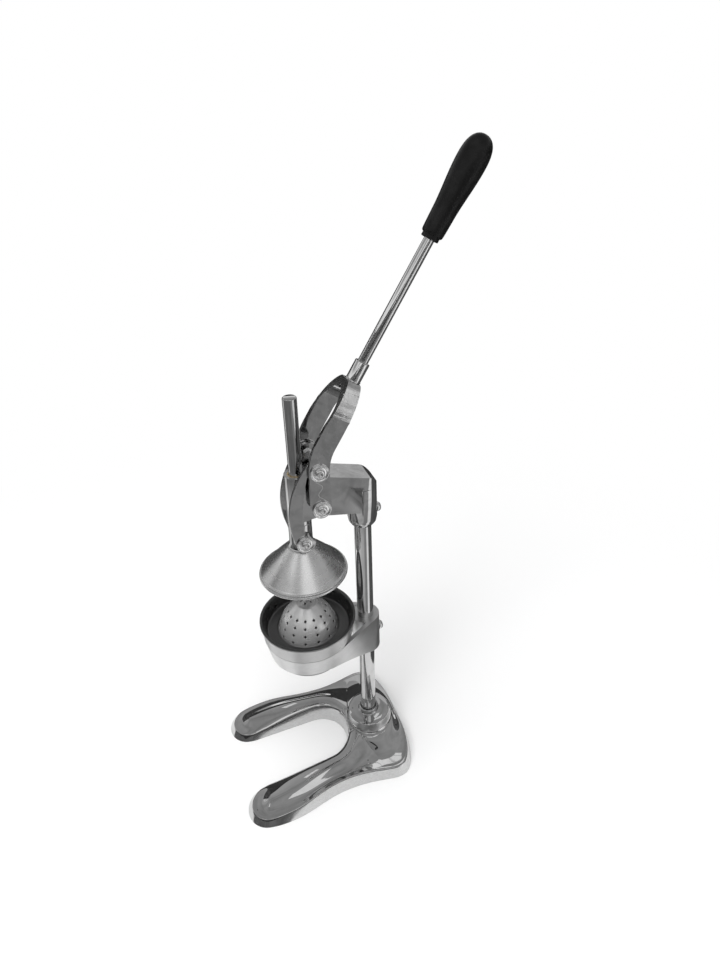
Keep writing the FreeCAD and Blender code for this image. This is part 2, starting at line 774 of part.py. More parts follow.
def lever_fork():
    solid = plate(fork_side(), -cheek_outside, cheek_outside)
    outer = fork_plan(cheek_outside, fork_shoulder, fork_crown, fork_crown_half_width, fork_bulge)
    inner = fork_plan(cheek_inside, slot_shoulder, slot_crown, slot_crown_half_width, slot_bulge)
    body = solid.common(outer).cut(inner)
    body = body.cut(cross_cylinder(pin_radius + running_fit, -cut_across, cut_across, lever_pivot))
    body = body.cut(cross_cylinder(crank_pin_radius, -cut_across, cut_across, crank_pivot))
    return body.cut(cylinder(collar_radius, cut_tall, lever_point(collar_start, handle_setback), along))


def socket_collar():
    length = fork_crown + collar_length - collar_start
    body = cylinder(collar_radius, length, lever_point(collar_start, handle_setback), along)
    bore_start = collar_start + length - rod_socket_depth
    return body.cut(cylinder(handle_rod_radius, length, lever_point(bore_start, handle_setback), along))


def handle_rod():
    start = fork_crown + collar_length - rod_socket_depth
    length = grip_start + grip_bore_depth - start
    return cylinder(handle_rod_radius, length, lever_point(start, handle_setback), along)


def grip():
    profile = [V(radius, 0, share * grip_length) for share, radius in grip_swell]
    ring = [V(handle_rod_radius, 0, 0), V(grip_ring_radius, 0, 0), V(grip_ring_radius, 0, grip_ring_length),
            profile[0]]
    swell = Part.BSplineCurve()
    swell.interpolate(profile)
    bore_end = V(0, 0, grip_bore_depth)
    bore_edge = V(handle_rod_radius, 0, grip_bore_depth)
    edges = [line(a, b) for a, b in zip(ring, ring[1:])]
    edges.append(swell.toShape())
    edges += [line(profile[-1], bore_end), line(bore_end, bore_edge), line(bore_edge, ring[0])]
    body = face_of(edges).revolve(V(0, 0, 0), Z, 360)
    body.Placement = FreeCAD.Placement(lever_point(grip_start, handle_setback), FreeCAD.Rotation(Z, along))
    return body


def link_plate():
    """Right-hand link: two round eyes joined by a crescent that bulges to the front."""
    front_turn = math.radians(link_front_turn)
    back_turn = math.radians(link_back_turn)
    front_top = crank_pivot + V(0, -math.cos(front_turn), math.sin(front_turn)) * link_top_eye_radius
    front_low = V(0, hood_pivot.y - link_low_eye_radius, hood_pivot.z)
    back_top = crank_pivot + V(0, -math.cos(back_turn), -math.sin(back_turn)) * link_top_eye_radius
    back_low = V(0, hood_pivot.y, hood_pivot.z + link_low_eye_radius)
    web = face_of([
        arc(front_top, V(0, -link_front_bulge, link_bulge_height), front_low),
        line(front_low, back_low),
        arc(back_low, V(0, -link_back_bulge, link_bulge_height), back_top),
        line(back_top, front_top),
    ])
    body = fused([
        plate(web, link_inside, link_outside),
        cross_cylinder(link_top_eye_radius, link_inside, link_outside, crank_pivot),
        cross_cylinder(link_low_eye_radius, link_inside, link_outside, hood_pivot),
    ])
    body = body.cut(cross_cylinder(crank_pin_radius, 0, cut_across, crank_pivot))
    return body.cut(cross_cylinder(pin_radius + running_fit, 0, cut_across, hood_pivot))


# Pins, screws and washers


def cup_washer(x_seat, centre):
    """Dished washer on the right side, its flat back at x_seat."""
    washer = turned_outline([
        (screw_radius, 0), (cup_washer_radius, 0), (cup_washer_radius, cup_washer_rim),
        (cup_washer_radius - 1, cup_washer_rim), (cup_washer_dish, cup_washer_thickness),
        (screw_radius, cup_washer_thickness),
    ])
    washer.Placement = FreeCAD.Placement(V(x_seat, centre.y, centre.z), FreeCAD.Rotation(Z, X))
    return washer


def socket_screw(x_seat, shank_length, centre):
    """Round-headed screw on the right side, the underside of its head at x_seat."""
    foot = V(screw_head_radius, 0, 0)
    side = V(screw_head_radius, 0, screw_head_side)
    round_over = V(screw_head_radius * 0.8, 0, screw_head_height * 0.85)
    flat = V(screw_head_flat_radius, 0, screw_head_height)
    top = V(0, 0, screw_head_height)
    head_edges = [
        line(V(0, 0, 0), foot),
        line(foot, side),
        arc(side, round_over, flat),
        line(flat, top),
        line(top, V(0, 0, 0)),
    ]
    head = face_of(head_edges).revolve(V(0, 0, 0), Z, 360)
    head = head.cut(hexagon(socket_radius, socket_depth, V(0, 0, screw_head_height - socket_depth), Z))
    shank = cylinder(screw_radius, shank_length, V(0, 0, -shank_length))
    body = fused([head, shank])
    body.Placement = FreeCAD.Placement(V(x_seat, centre.y, centre.z), FreeCAD.Rotation(Z, X))
    return body


def through_pin(radius, half_length, centre):
    body = cross_cylinder(radius, -half_length, half_length, centre)
    for shift in (half_length - screw_depth, -half_length):
        body = body.cut(cross_cylinder(screw_radius, shift, shift + screw_depth, centre))
    return body


def crank_screw():
    """Screw head and the shank in the cheek; it ends at the cheek's inner face."""
    washer_top = cheek_outside + cup_washer_thickness
    head = socket_screw(washer_top, cup_washer_thickness, crank_pivot)
    shank = cross_cylinder(crank_pin_radius, cheek_inside, cheek_outside, crank_pivot)
    return fused([head, shank])


def crank_nut():
    """Six-sided nut inside the link with a round sleeve that fills the link's eye."""
    thickness = link_inside - nose_half_width - 2 * side_play
    nut = hexagon(crank_nut_radius, thickness, V(link_inside - thickness, crank_pivot.y, crank_pivot.z), X)
    sleeve = cross_cylinder(crank_pin_radius, link_inside, link_outside, crank_pivot)
    return fused([nut, sleeve])


def spacer():
    body = cross_cylinder(spacer_radius, nose_half_width, cheek_inside - side_play, lever_pivot)
    return body.cut(cross_cylinder(pin_radius, 0, cut_across, lever_pivot))


os.makedirs("parts", exist_ok=True)
lever_pin_half = cheek_outside + side_play
hood_pin_half = link_outside + side_play
export(base_foot(), "base_foot")
export(column(), "column")
export(column_foot_washer(), "column_foot_washer")
export(column_foot_screw(), "column_foot_screw")
export(cup_bracket(), "cup_bracket")
export(set_screw(bracket_screw_height, bracket_boss_radius), "bracket_set_screw")
export(bowl(), "bowl")
export(strainer(), "strainer")
export(head_casting(), "head_casting")
export(set_screw(head_screw_height, head_boss_radius), "head_set_screw")
export(guide_bush(), "guide_bush")
export(press_rod(), "press_rod")
export(hood_hub(), "hood_hub")
export(hood(), "hood")
export(hood_nut(), "hood_nut")
export(lever_fork(), "lever_fork")
export(socket_collar(), "socket_collar")
export(handle_rod(), "handle_rod")
export(grip(), "grip")
link = link_plate()
export(link, "link_right")
export(mirrored(link), "link_left")
export(pair(crank_screw()), "crank_screws")
export(pair(cup_washer(cheek_outside, crank_pivot)), "crank_washers")
export(pair(crank_nut()), "crank_nuts")
export(through_pin(pin_radius, lever_pin_half, lever_pivot), "lever_pivot_pin")
export(pair(spacer()), "lever_spacers")
export(pair(cup_washer(lever_pin_half, lever_pivot)), "lever_pivot_washers")
lever_screw_seat = lever_pin_half + cup_washer_thickness
export(pair(socket_screw(lever_screw_seat, screw_depth, lever_pivot)), "lever_pivot_screws")
export(through_pin(pin_radius, hood_pin_half, hood_pivot), "hood_pivot_pin")
export(pair(cup_washer(hood_pin_half, hood_pivot)), "hood_pivot_washers")
hood_screw_seat = hood_pin_half + cup_washer_thickness
export(pair(socket_screw(hood_screw_seat, screw_depth, hood_pivot)), "hood_pivot_screws")
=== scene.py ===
import math

import bmesh
import bpy
from mathutils import Matrix, Vector

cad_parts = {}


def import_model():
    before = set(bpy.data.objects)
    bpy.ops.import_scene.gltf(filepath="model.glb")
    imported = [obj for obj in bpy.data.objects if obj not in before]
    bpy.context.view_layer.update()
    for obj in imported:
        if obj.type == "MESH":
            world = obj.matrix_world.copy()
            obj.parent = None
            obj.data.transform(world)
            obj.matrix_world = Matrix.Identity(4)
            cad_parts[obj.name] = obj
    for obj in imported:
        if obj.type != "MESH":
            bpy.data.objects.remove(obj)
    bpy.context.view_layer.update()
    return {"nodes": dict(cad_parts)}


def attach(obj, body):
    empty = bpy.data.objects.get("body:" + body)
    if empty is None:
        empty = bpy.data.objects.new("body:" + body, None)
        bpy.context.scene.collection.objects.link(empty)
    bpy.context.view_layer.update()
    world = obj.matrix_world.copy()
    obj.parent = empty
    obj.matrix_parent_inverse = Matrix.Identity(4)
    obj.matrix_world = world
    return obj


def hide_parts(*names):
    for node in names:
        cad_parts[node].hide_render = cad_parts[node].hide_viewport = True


# Looks of the lever citrus juice press. Lengths are written in millimetres and scaled to metres at the end.
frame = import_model()

MM = 0.001
press_y = -73.0
middle_y = -60.0
lever_pivot = Vector((0, -54, 394))
crank_pivot = Vector((0, -54, 439))
hood_pivot = Vector((0, press_y, 350))
lean = math.radians(31.7)
along = Vector((0, math.sin(lean), math.cos(lean)))
behind = Vector((0, math.cos(lean), -math.sin(lean)))
fork_bend = Vector((0, -54, 454))
# The handle's line stands this far behind the fork's
handle_setback = 4.6


# Shader maths

class Field:
    """A shader socket that takes part in Python sums."""

    def __init__(self, tree, socket):
        self.tree = tree
        self.socket = socket

    def math(self, operation, *values):
        return self.tree.node("ShaderNodeMath", {"operation": operation}, dict(enumerate((self,) + values)))

    def __add__(self, other):
        return self.math("ADD", other)

    __radd__ = __add__

    def __mul__(self, other):
        return self.math("MULTIPLY", other)

    def __sub__(self, other):
        return self.math("SUBTRACT", other)

    def __rsub__(self, other):
        return (self * -1.0) + other

    def __pow__(self, other):
        return self.math("POWER", other)

    def clamped(self, low=0.0, high=1.0):
        return self.math("MAXIMUM", low).math("MINIMUM", high)

    def between(self, low, high):
        """0 at low, 1 at high, smooth in between."""
        return self.tree.node("ShaderNodeMapRange", {"interpolation_type": "SMOOTHSTEP"},
                              {"Value": self, "From Min": low, "From Max": high})


class Paint:
    """The shader nodes of a material or a world."""

    def __init__(self, tree):
        self.nodes = tree.nodes
        self.links = tree.links
        self.nodes.clear()

    def node(self, kind, settings=None, inputs=None, output=0):
        made = self.nodes.new(kind)
        for key, value in (settings or {}).items():
            setattr(made, key, value)
        for key, value in (inputs or {}).items():
            if isinstance(value, Field):
                self.links.new(value.socket, made.inputs[key])
            else:
                made.inputs[key].default_value = value
        return Field(self, made.outputs[output])

    def place(self, scale=(1, 1, 1), turn=(0, 0, 0), centre=(0, 0, 0)):
        """Object coordinates moved to a centre and scaled."""
        raw = self.node("ShaderNodeTexCoord", output="Object")
        moved = self.node("ShaderNodeVectorMath", {"operation": "SUBTRACT"}, {0: raw, 1: centre})
        return self.node("ShaderNodeMapping", {}, {"Vector": moved, "Rotation": turn, "Scale": scale})

    def axes(self, vector):
        split = self.node("ShaderNodeSeparateXYZ", {}, {"Vector": vector}).socket.node
        return tuple(Field(self, split.outputs[axis]) for axis in "XYZ")

    def length(self, vector):
        return self.node("ShaderNodeVectorMath", {"operation": "LENGTH"}, {0: vector}, output="Value")

    def noise(self, vector, scale, detail=3.0, roughness=0.5, distortion=0.0):
        return self.node("ShaderNodeTexNoise", {}, {"Vector": vector, "Scale": scale, "Detail": detail,
                                                    "Roughness": roughness, "Distortion": distortion})

    def mixed(self, factor, first, second, blend="MIX"):
        return self.node("ShaderNodeMix", {"data_type": "RGBA", "blend_type": blend},
                         {0: factor, 6: first, 7: second}, output=2)

    def ramp(self, value, stops):
        """A grey that runs straight from stop to stop."""
        shade = self.node("ShaderNodeValToRGB", {}, {0: value})
        elements = shade.socket.node.color_ramp.elements
        for number, (place, tone) in enumerate(stops):
            stop = elements[number] if number < 2 else elements.new(place)
            stop.position = place
            stop.color = grey(tone)
        return shade

    def bump(self, height, distance, strength):
        return self.node("ShaderNodeBump", {},
                         {"Height": height, "Distance": distance, "Strength": strength})

    def end(self, shader, kind="ShaderNodeOutputMaterial"):
        self.links.new(shader.socket, self.nodes.new(kind).inputs["Surface"])


class Finish(Paint):
    """A material and the nodes that paint it."""

    def __init__(self, name):
        self.material = bpy.data.materials.new(name)
        self.material.use_nodes = True
        super().__init__(self.material.node_tree)

    def surface(self, **sockets):
        names = {"color": "Base Color", "metallic": "Metallic", "roughness": "Roughness",
                 "normal": "Normal", "anisotropic": "Anisotropic", "specular": "Specular IOR Level"}
        self.end(self.node("ShaderNodeBsdfPrincipled", {},
                           {names[key]: value for key, value in sockets.items()}))
        return self.material


def grey(value):
    return (value, value, value, 1.0)


def scratches(finish, vector, width, density):
    """Thin straight rub marks: 1 on a mark, 0 elsewhere."""
    wave = finish.noise(vector, density, 2.0, 0.5, 0.4)
    return (wave - 0.5).math("ABSOLUTE").between(width, 0.0)


# Noise scales that several finishes share, in waves to the metre, and the lightest paint
fine_grain = 420.0
hair_grain = 260.0
brightest = 0.95


def plated(name, tone, rough, cloud_scale, contrast, marks_share, mark=None):
    """Chrome plate with a cloudy polish, rub marks and a few pits."""
    finish = Finish(name)
    here = finish.place()
    cloud = finish.noise(here, cloud_scale, 5.0, 0.62, 0.8)
    fine = finish.noise(here, fine_grain, 2.0, 0.6)
    pits = finish.noise(here, hair_grain, 1.0, 0.4).between(0.74, 0.80)
    long_marks = scratches(finish, finish.place((1.0, 1.0, 0.22), (0.5, 0.2, 0.3)), 0.010, 90.0)
    cross_marks = scratches(finish, finish.place((0.3, 1.0, 1.0), (0.1, 0.9, 0.4)), 0.007, 120.0)
    marks = (long_marks + cross_marks).clamped() * fine.between(0.42, 0.6)
    worn = cloud.between(0.38, 0.68)
    roughness = (worn * (rough * 0.5) + fine * (rough * 0.4) + pits * 0.1 + marks * (marks_share * 0.4)
                 + rough * 0.4)
    color = finish.mixed(worn, grey(tone), grey(tone * (1 - contrast)))
    color = finish.mixed(marks * marks_share, color, grey(min(brightest, tone * 1.5)))
    color = finish.mixed(pits * 0.5, color, grey(tone * 0.4))
    if mark:
        rub = mark(finish)
        color = finish.mixed(rub * 0.6, color, grey(min(brightest, tone * 1.7)))
        roughness = roughness + rub * 0.25
    return finish.surface(color=color, metallic=1.0, roughness=roughness.clamped(0.02, 0.9),
                          normal=finish.bump(cloud * 0.5 + fine * 0.06 - marks * 0.2, 0.00005, 0.25))


def foot_finish():
    """Chrome on top, and satin on the flanks where the casting was only brushed."""
    finish = Finish("foot_chrome")
    here = finish.place(centre=(0, middle_y * MM, 0.02))
    facing_up = finish.axes(finish.node("ShaderNodeTexCoord", output="Normal"))[2]
    flank = facing_up.between(0.55, 0.30)
    cloud = finish.noise(here, 22.0, 5.0, 0.6, 0.8)
    fine = finish.noise(here, fine_grain, 2.0, 0.6)
    hair = finish.noise(finish.place((1, 1, 7)), hair_grain, 3.0, 0.6)
    pits = finish.noise(here, 190.0, 1.0, 0.4).between(0.755, 0.80)
    marks = (scratches(finish, finish.place((1.0, 0.25, 1.0), (0.1, 0.2, 0.5)), 0.008, 80.0)
             * fine.between(0.42, 0.6))
    worn = cloud.between(0.36, 0.70)
    polished = worn * 0.03 + 0.02 + marks * 0.12 + pits * 0.1
    roughness = polished * (1 - flank) + (hair * 0.14 + 0.24) * flank
    color = finish.mixed(worn, grey(0.66), grey(0.58))
    color = finish.mixed(pits * 0.7, color, grey(0.14))
    color = finish.mixed(flank, color, finish.mixed(hair.between(0.3, 0.7), grey(0.52), grey(0.66)))
    return finish.surface(color=color, metallic=1.0, roughness=roughness,
                          normal=finish.bump(cloud * 0.6 + hair * flank * 0.4, 0.00005, 0.2))


def rub_mark(finish):
    """Thin S-shaped rub mark on the right cheek between its two screws."""
    x, y, z = finish.axes(finish.place(centre=(0, -0.054, 0.4165)))
    line = y - (z * 330.0).math("SINE") * 0.0032 + z * 0.18
    return (line.math("ABSOLUTE").between(0.00055, 0.0002) * z.math("ABSOLUTE").between(0.0125, 0.0115)
            * x.between(0.0255, 0.026))


def satin(name, tone, rough, grain=(1, 1, 1)):
    """Satin metal with fine brushing along one direction."""
    finish = Finish(name)
    cloud = finish.noise(finish.place(), 30.0, 3.0, 0.55)
    hair = finish.noise(finish.place(grain), fine_grain, 3.0, 0.6)
    coarse = finish.noise(finish.place(grain), 110.0, 2.0, 0.5)
    roughness = cloud * 0.10 + hair * 0.12 + (rough - 0.11)
    shade = (cloud * 0.5 + hair * 0.3 + coarse * 0.2).between(0.3, 0.7)
    color = finish.mixed(shade, grey(tone * 0.86), grey(tone * 1.06))
    return finish.surface(color=color, metallic=1.0, roughness=roughness,
                          normal=finish.bump(hair + coarse * 0.5, 0.00003, 0.5))


# Where painted shade starts on the spun sheets, each from unshaded to shaded, in metres
trough_edge = (0.0345, 0.0372)
cap_edge = (0.0125, 0.0115)
bowl_wall_inside = (0.0434, 0.0430)
bowl_floor_inside = (0.1684, 0.1690)


# The last argument says where painted shade darkens the sheet: inside the bowl, or outside the strainer's
# dome and on its cap.
def ring_brushed(name, tone, rough, metal=1.0, fine=900.0, depth=0.000004, painted_shade=None):
    """Sheet spun on a lathe: brushing runs in rings about the press's axis."""
    finish = Finish(name)
    raw = finish.place(centre=(0, press_y * MM, 0))
    x, y, z = finish.axes(raw)
    radius = (x * x + y * y).math("SQRT")
    turn = y.math("ARCTAN2", x)
    rings = finish.node("ShaderNodeCombineXYZ", {}, {"X": radius, "Y": z, "Z": turn * 0.002})
    hair = finish.noise(rings, fine, 2.0, 0.6)
    coarse = finish.noise(rings, fine * 0.2, 2.0, 0.5)
    cloud = finish.noise(raw, 28.0, 4.0, 0.6, 0.4)
    stain = finish.noise(raw, 75.0, 3.0, 0.6).between(0.55, 0.75)
    roughness = cloud * 0.12 + hair * 0.05 + (rough - 0.085)
    color = finish.mixed((cloud * 0.8 + hair * 0.2).between(0.3, 0.7), grey(tone * 0.9), grey(tone * 1.04))
    color = finish.mixed(stain * 0.18, color, grey(tone * 0.75))
    shine = metal
    if painted_shade == "inside":
        # Painted shade: the bowl is darkened inside, below the strainer.
        inside = radius.between(*bowl_wall_inside) * z.between(*bowl_floor_inside)
        color = finish.mixed(inside * 0.85, color, grey(tone * 0.2))
    elif painted_shade == "trough":
        # Painted shade darkens the strainer outside its dome, and the dome's cap a little; outside the dome
        # the sheet is also made rougher.
        trough = radius.between(*trough_edge)
        cap = radius.between(*cap_edge)
        color = finish.mixed((trough * 0.86 + cap * 0.35).clamped(), color, grey(tone * 0.12))
        roughness = roughness + trough * 0.12
        shine = trough * (1 - metal) + metal
    return finish.surface(color=color, metallic=shine, roughness=roughness, anisotropic=0.4,
                          normal=finish.bump(hair * 0.7 + coarse, depth, 0.5))


def moulded_black():
    """Black moulded plastic with a fine pebbled texture and rubbed high spots."""
    finish = Finish("grip_black_plastic")
    here = finish.place()
    pebble = finish.node("ShaderNodeTexVoronoi", {"feature": "F1"}, {"Vector": here, "Scale": 1100.0},
                         output="Distance")
    fine = finish.noise(here, 1500.0, 2.0, 0.6)
    cloud = finish.noise(here, 45.0, 4.0, 0.6)
    color = finish.mixed(cloud.between(0.4, 0.7), grey(0.005), grey(0.010))
    color = finish.mixed(fine.between(0.62, 0.75) * 0.3, color, grey(0.04))
    roughness = cloud * 0.10 + 0.24 + pebble * 0.06
    return finish.surface(color=color, metallic=0.0, roughness=roughness, specular=0.16,
                          normal=finish.bump(pebble * 0.7 + fine * 0.4, 0.00018, 0.55))


def reamed_brass():
    """Brass with turning marks and some tarnish."""
    finish = Finish("bush_brass")
    hair = finish.noise(finish.place((1, 1, 20)), hair_grain, 2.0, 0.5)
    tarnish = finish.noise(finish.place(), 60.0, 3.0, 0.6)
    color = finish.mixed(tarnish.between(0.35, 0.7), (0.86, 0.72, 0.48, 1), (0.70, 0.56, 0.36, 1))
    return finish.surface(color=color, metallic=1.0, roughness=hair * 0.15 + tarnish * 0.15 + 0.18,
                          normal=finish.bump(hair, 0.00002, 0.4))


base_plate = foot_finish()
column_plate = plated("column_chrome", 0.60, 0.07, 24.0, 0.14, 0.12)
lever_plate = plated("lever_chrome", 0.56, 0.10, 60.0, 0.22, 0.35, mark=rub_mark)
head_plate = plated("head_chrome", 0.62, 0.08, 34.0, 0.26, 0.25)
rod_plate = plated("rod_chrome", 0.54, 0.05, 24.0, 0.14, 0.08)
handle_plate = plated("handle_chrome", 0.66, 0.04, 24.0, 0.10, 0.04)
link_plate = plated("link_chrome", 0.56, 0.12, 60.0, 0.2, 0.3)
collar_plate = plated("collar_chrome", 0.68, 0.12, 40.0, 0.15, 0.2)
hub_plate = plated("hub_chrome", 0.64, 0.09, 40.0, 0.15, 0.2)
washer_steel = satin("washer_steel", 0.92, 0.24)
bracket_satin = satin("bracket_satin", 0.70, 0.34, (1, 1, 6))
# The bowl gets painted shade inside, below the strainer.
bowl_steel = ring_brushed("bowl_steel", 0.50, 0.30, painted_shade="inside")
# The strainer gets painted shade outside its dome and on its cap.
strainer_steel = ring_brushed("strainer_steel", 0.62, 0.26, 0.6, depth=0.000001, painted_shade="trough")
hood_steel = ring_brushed("hood_steel", 0.84, 0.27, fine=480.0, depth=0.000001)
screw_steel = satin("screw_steel", 0.86, 0.24)
brass = reamed_brass()
black = moulded_black()


# Making pieces

def meshed(bm, name, material):
    """An object made from a bmesh."""
    mesh = bpy.data.meshes.new(name)
    bm.to_mesh(mesh)
    bm.free()
    mesh.materials.append(material)
    made = bpy.data.objects.new(name, mesh)
    bpy.context.scene.collection.objects.link(made)
    return made


def to_piece(bm, name, finish, body, nodes, sharp=32.0):
    """Make a bmesh in millimetres into a piece in metres that rides on a body and stands for CAD nodes."""
    bmesh.ops.transform(bm, matrix=Matrix.Scale(MM, 4), verts=bm.verts)
    piece = meshed(bm, name, finish)
    piece.data.shade_smooth()
    piece.data.set_sharp_from_angle(angle=math.radians(sharp))
    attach(piece, body)
    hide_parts(*nodes)
    return piece


def only(kind, items):
    return [item for item in items if isinstance(item, kind)]


def drawn_on(bm, edges):
    """Extrude a run of edges; gives the new points and the new edges."""
    made = bmesh.ops.extrude_edge_only(bm, edges=edges)["geom"]
    return only(bmesh.types.BMVert, made), only(bmesh.types.BMEdge, made)


def ring_edges(ring):
    """The edges that join the points of a ring."""
    inside = set(ring)
    return list(dict.fromkeys(edge for vert in ring for edge in vert.link_edges
                              if edge.other_vert(vert) in inside))


def next_ring(bm, ring):
    """Extrude a closed ring of points; gives the new ring in the same order."""
    fresh = set(drawn_on(bm, ring_edges(ring))[0])
    return [next(edge.other_vert(vert) for edge in vert.link_edges if edge.other_vert(vert) in fresh)
            for vert in ring]


def move_out(vert, radius, height):
    """Put a point at a radius from the axis and a height, on its old bearing."""
    flat = Vector((vert.co.x, vert.co.y, 0)).normalized() * radius
    vert.co = Vector((flat.x, flat.y, height))


def merged_copy(node):
    """A CAD node's mesh in millimetres with its doubles merged and its flat faces whole."""
    bm = bmesh.new()
    bm.from_mesh(frame["nodes"][node].data)
    bmesh.ops.transform(bm, matrix=Matrix.Scale(1 / MM, 4), verts=bm.verts)
    bmesh.ops.remove_doubles(bm, verts=bm.verts, dist=0.004)
    bmesh.ops.dissolve_limit(bm, angle_limit=math.radians(0.6), verts=bm.verts, edges=bm.edges,
                             use_dissolve_boundaries=False, delimit=set())
    return bm


def rounded(piece, width, segments=3):
    edge = piece.modifiers.new("rounded_edges", "BEVEL")
    edge.width = width * MM
    edge.segments = segments
    edge.limit_method = "ANGLE"
    edge.angle_limit = math.radians(30.0)
    edge.harden_normals = True
    edge.use_clamp_overlap = True
    edge.miter_outer = "MITER_ARC"


def cast_piece(node, finish, body, width):
    rounded(to_piece(merged_copy(node), node + "_finished", finish, body, [node]), width)


# Foot casting

def smooth_through(points, spans, per_span, closed=False):
    """Points on a smooth curve through the given ones, per_span to each span."""
    made = []
    count = len(points)
    for span in range(spans):
        near = []
        for shift in (-1, 0, 1, 2):
            index = span + shift
            near.append(points[index % count] if closed else points[min(max(index, 0), count - 1)])
        for step in range(per_span):
            t = step / per_span
            made.append(tuple(0.5 * (2 * b + (c - a) * t + (2 * a - 5 * b + 4 * c - d) * t * t
                                     + (3 * b - a - 3 * c + d) * t ** 3)
                              for a, b, c, d in zip(*near)))
    if not closed:
        made.append(tuple(points[spans]))
    return made


# Sections from one station to the next, the boss's radius where the deck meets it, and the largest share of a
# section that an inset may take
foot_steps = 6
boss_ring = 31.0
most_inset = 0.8
# Ridge of an arm, from the boss to the middle of the toe: x, y, height
arm_ridge = [(18.2, -25.1, 25.5), (30, -30.5, 25.2), (42, -39.5, 24.8), (50, -52, 24.4), (53.5, -68, 24),
             (57, -87, 22.8), (60, -105, 20.8), (61.8, -122, 18.4), (62.3, -137, 16.2), (62, -150, 14.2)]
# Bench outline of the right half from the bay round the toe to the back: x, y, share of the outer
# section, height of the wall's edge
foot_stations = [
    (0, -34.5, 0, 15), (11, -36.2, 0, 15), (20.4, -40.9, 0, 15), (26.5, -46.4, 0, 15),
    (31.5, -53.6, 0, 15), (34.6, -62, 0, 15), (35.5, -72, 0, 15), (35.4, -88, 0, 14),
    (35.3, -105, 0, 12.5), (35.2, -122, 0.1, 11), (35.1, -138, 0.3, 9.5), (35.2, -153, 0.55, 8.5),
    (38.7, -166.5, 0.8, 8), (48.5, -176.4, 0.95, 7.6), (62, -180, 1, 7.5), (75.5, -176.4, 1, 7.6),
    (85.3, -166.5, 1, 8), (89.2, -153, 1, 8.6), (90.4, -138, 1, 9.8), (89.8, -122, 1, 11.4),
    (87.0, -106, 1, 13), (82.8, -89, 1, 14.4), (79.6, -72, 1, 15.2), (78.4, -55, 1, 15.4),
    (78.9, -38, 1, 15.2), (81.2, -20, 1, 14.8), (84.3, -4, 1, 14.4), (86.1, 9, 1, 14),
    (84.7, 19.4, 1, 13.8), (79.3, 26.6, 1, 13.8), (69.5, 32.9, 1, 13.8), (55.5, 38, 1, 14),
    (38, 41.8, 1, 14), (19, 43.6, 1, 14), (0, 44, 1, 14),
]
# Rows of the outer section: distance in from the bench edge, share of the way to the ridge, share of the
# wall's height, share of the rise from the wall's edge to the ridge
outer_rows = [
    (0.0, 0.0, 0.06, 0), (0.9, 0.0, 0.22, 0), (2.4, 0.0, 0.48, 0), (3.9, 0.0, 0.74, 0), (4.9, 0.0, 0.91, 0),
    (5.35, 0.0, 0.972, 0), (5.9, 0.0, 1.0, 0), (6.6, 0.0, 1.01, 0), (7.4, 0.03, 1.01, 0.004),
    (7.4, 0.12, 1.01, 0.02), (7.4, 0.24, 1.01, 0.07), (7.4, 0.36, 1.01, 0.16), (7.4, 0.48, 1.01, 0.30),
    (7.4, 0.60, 1.01, 0.50), (7.4, 0.72, 1.01, 0.71), (7.4, 0.83, 1.01, 0.88), (7.4, 0.93, 1.01, 0.975),
]
# Rows of the bay section: share of the way to the ridge and share of its height
bay_rows = [
    (0.0, 0.03), (0.018, 0.12), (0.04, 0.24), (0.065, 0.36), (0.09, 0.46), (0.12, 0.56), (0.155, 0.65),
    (0.195, 0.73), (0.24, 0.80), (0.29, 0.855), (0.35, 0.90), (0.42, 0.935), (0.50, 0.96), (0.60, 0.978),
    (0.71, 0.99), (0.82, 0.997), (0.92, 1.0),
]


def boss_point(angle):
    """Point where the deck meets the boss, its height a little lower at the sides and back."""
    turn = math.radians(angle)
    rise = 21.5 + 4.6 * max(0.0, -math.sin(turn)) ** 2
    return (boss_ring * math.cos(turn), boss_ring * math.sin(turn), rise)


# Bearings on the boss where the bay's front starts, where an arm's ridge leaves it, and its back
boss_front, boss_shoulder, boss_back = -90, -54, 90


def foot_sections():
    """Bench point and ridge point of every section round the foot."""
    right_count = len(foot_stations)
    left = [(-x, y, share, edge) for x, y, share, edge in foot_stations[-2:0:-1]]
    ring = foot_stations + left
    bench = smooth_through(ring, len(ring), foot_steps, closed=True)
    ridge = smooth_through(arm_ridge, len(arm_ridge) - 1, foot_steps)
    bay_spans, ridge_spans = 2, len(arm_ridge) - 1
    toe_start, toe_end = bay_spans + ridge_spans, bay_spans + ridge_spans + 6
    back_start = toe_end + ridge_spans
    inner = []
    for index in range((right_count - 1) * foot_steps + 1):
        place = index / foot_steps
        if place <= bay_spans:
            inner.append(boss_point(boss_front + (boss_shoulder - boss_front) * place / bay_spans))
        elif place <= toe_start:
            inner.append(ridge[index - bay_spans * foot_steps])
        elif place <= toe_end:
            inner.append(ridge[-1])
        elif place <= back_start:
            inner.append(ridge[back_start * foot_steps - index])
        else:
            share = (place - back_start) / (right_count - 1 - back_start)
            inner.append(boss_point(boss_shoulder + (boss_back - boss_shoulder) * share))
    inner[bay_spans * foot_steps] = ridge[0]
    inner += [(-x, y, z) for x, y, z in inner[-2:0:-1]]
    return bench, inner


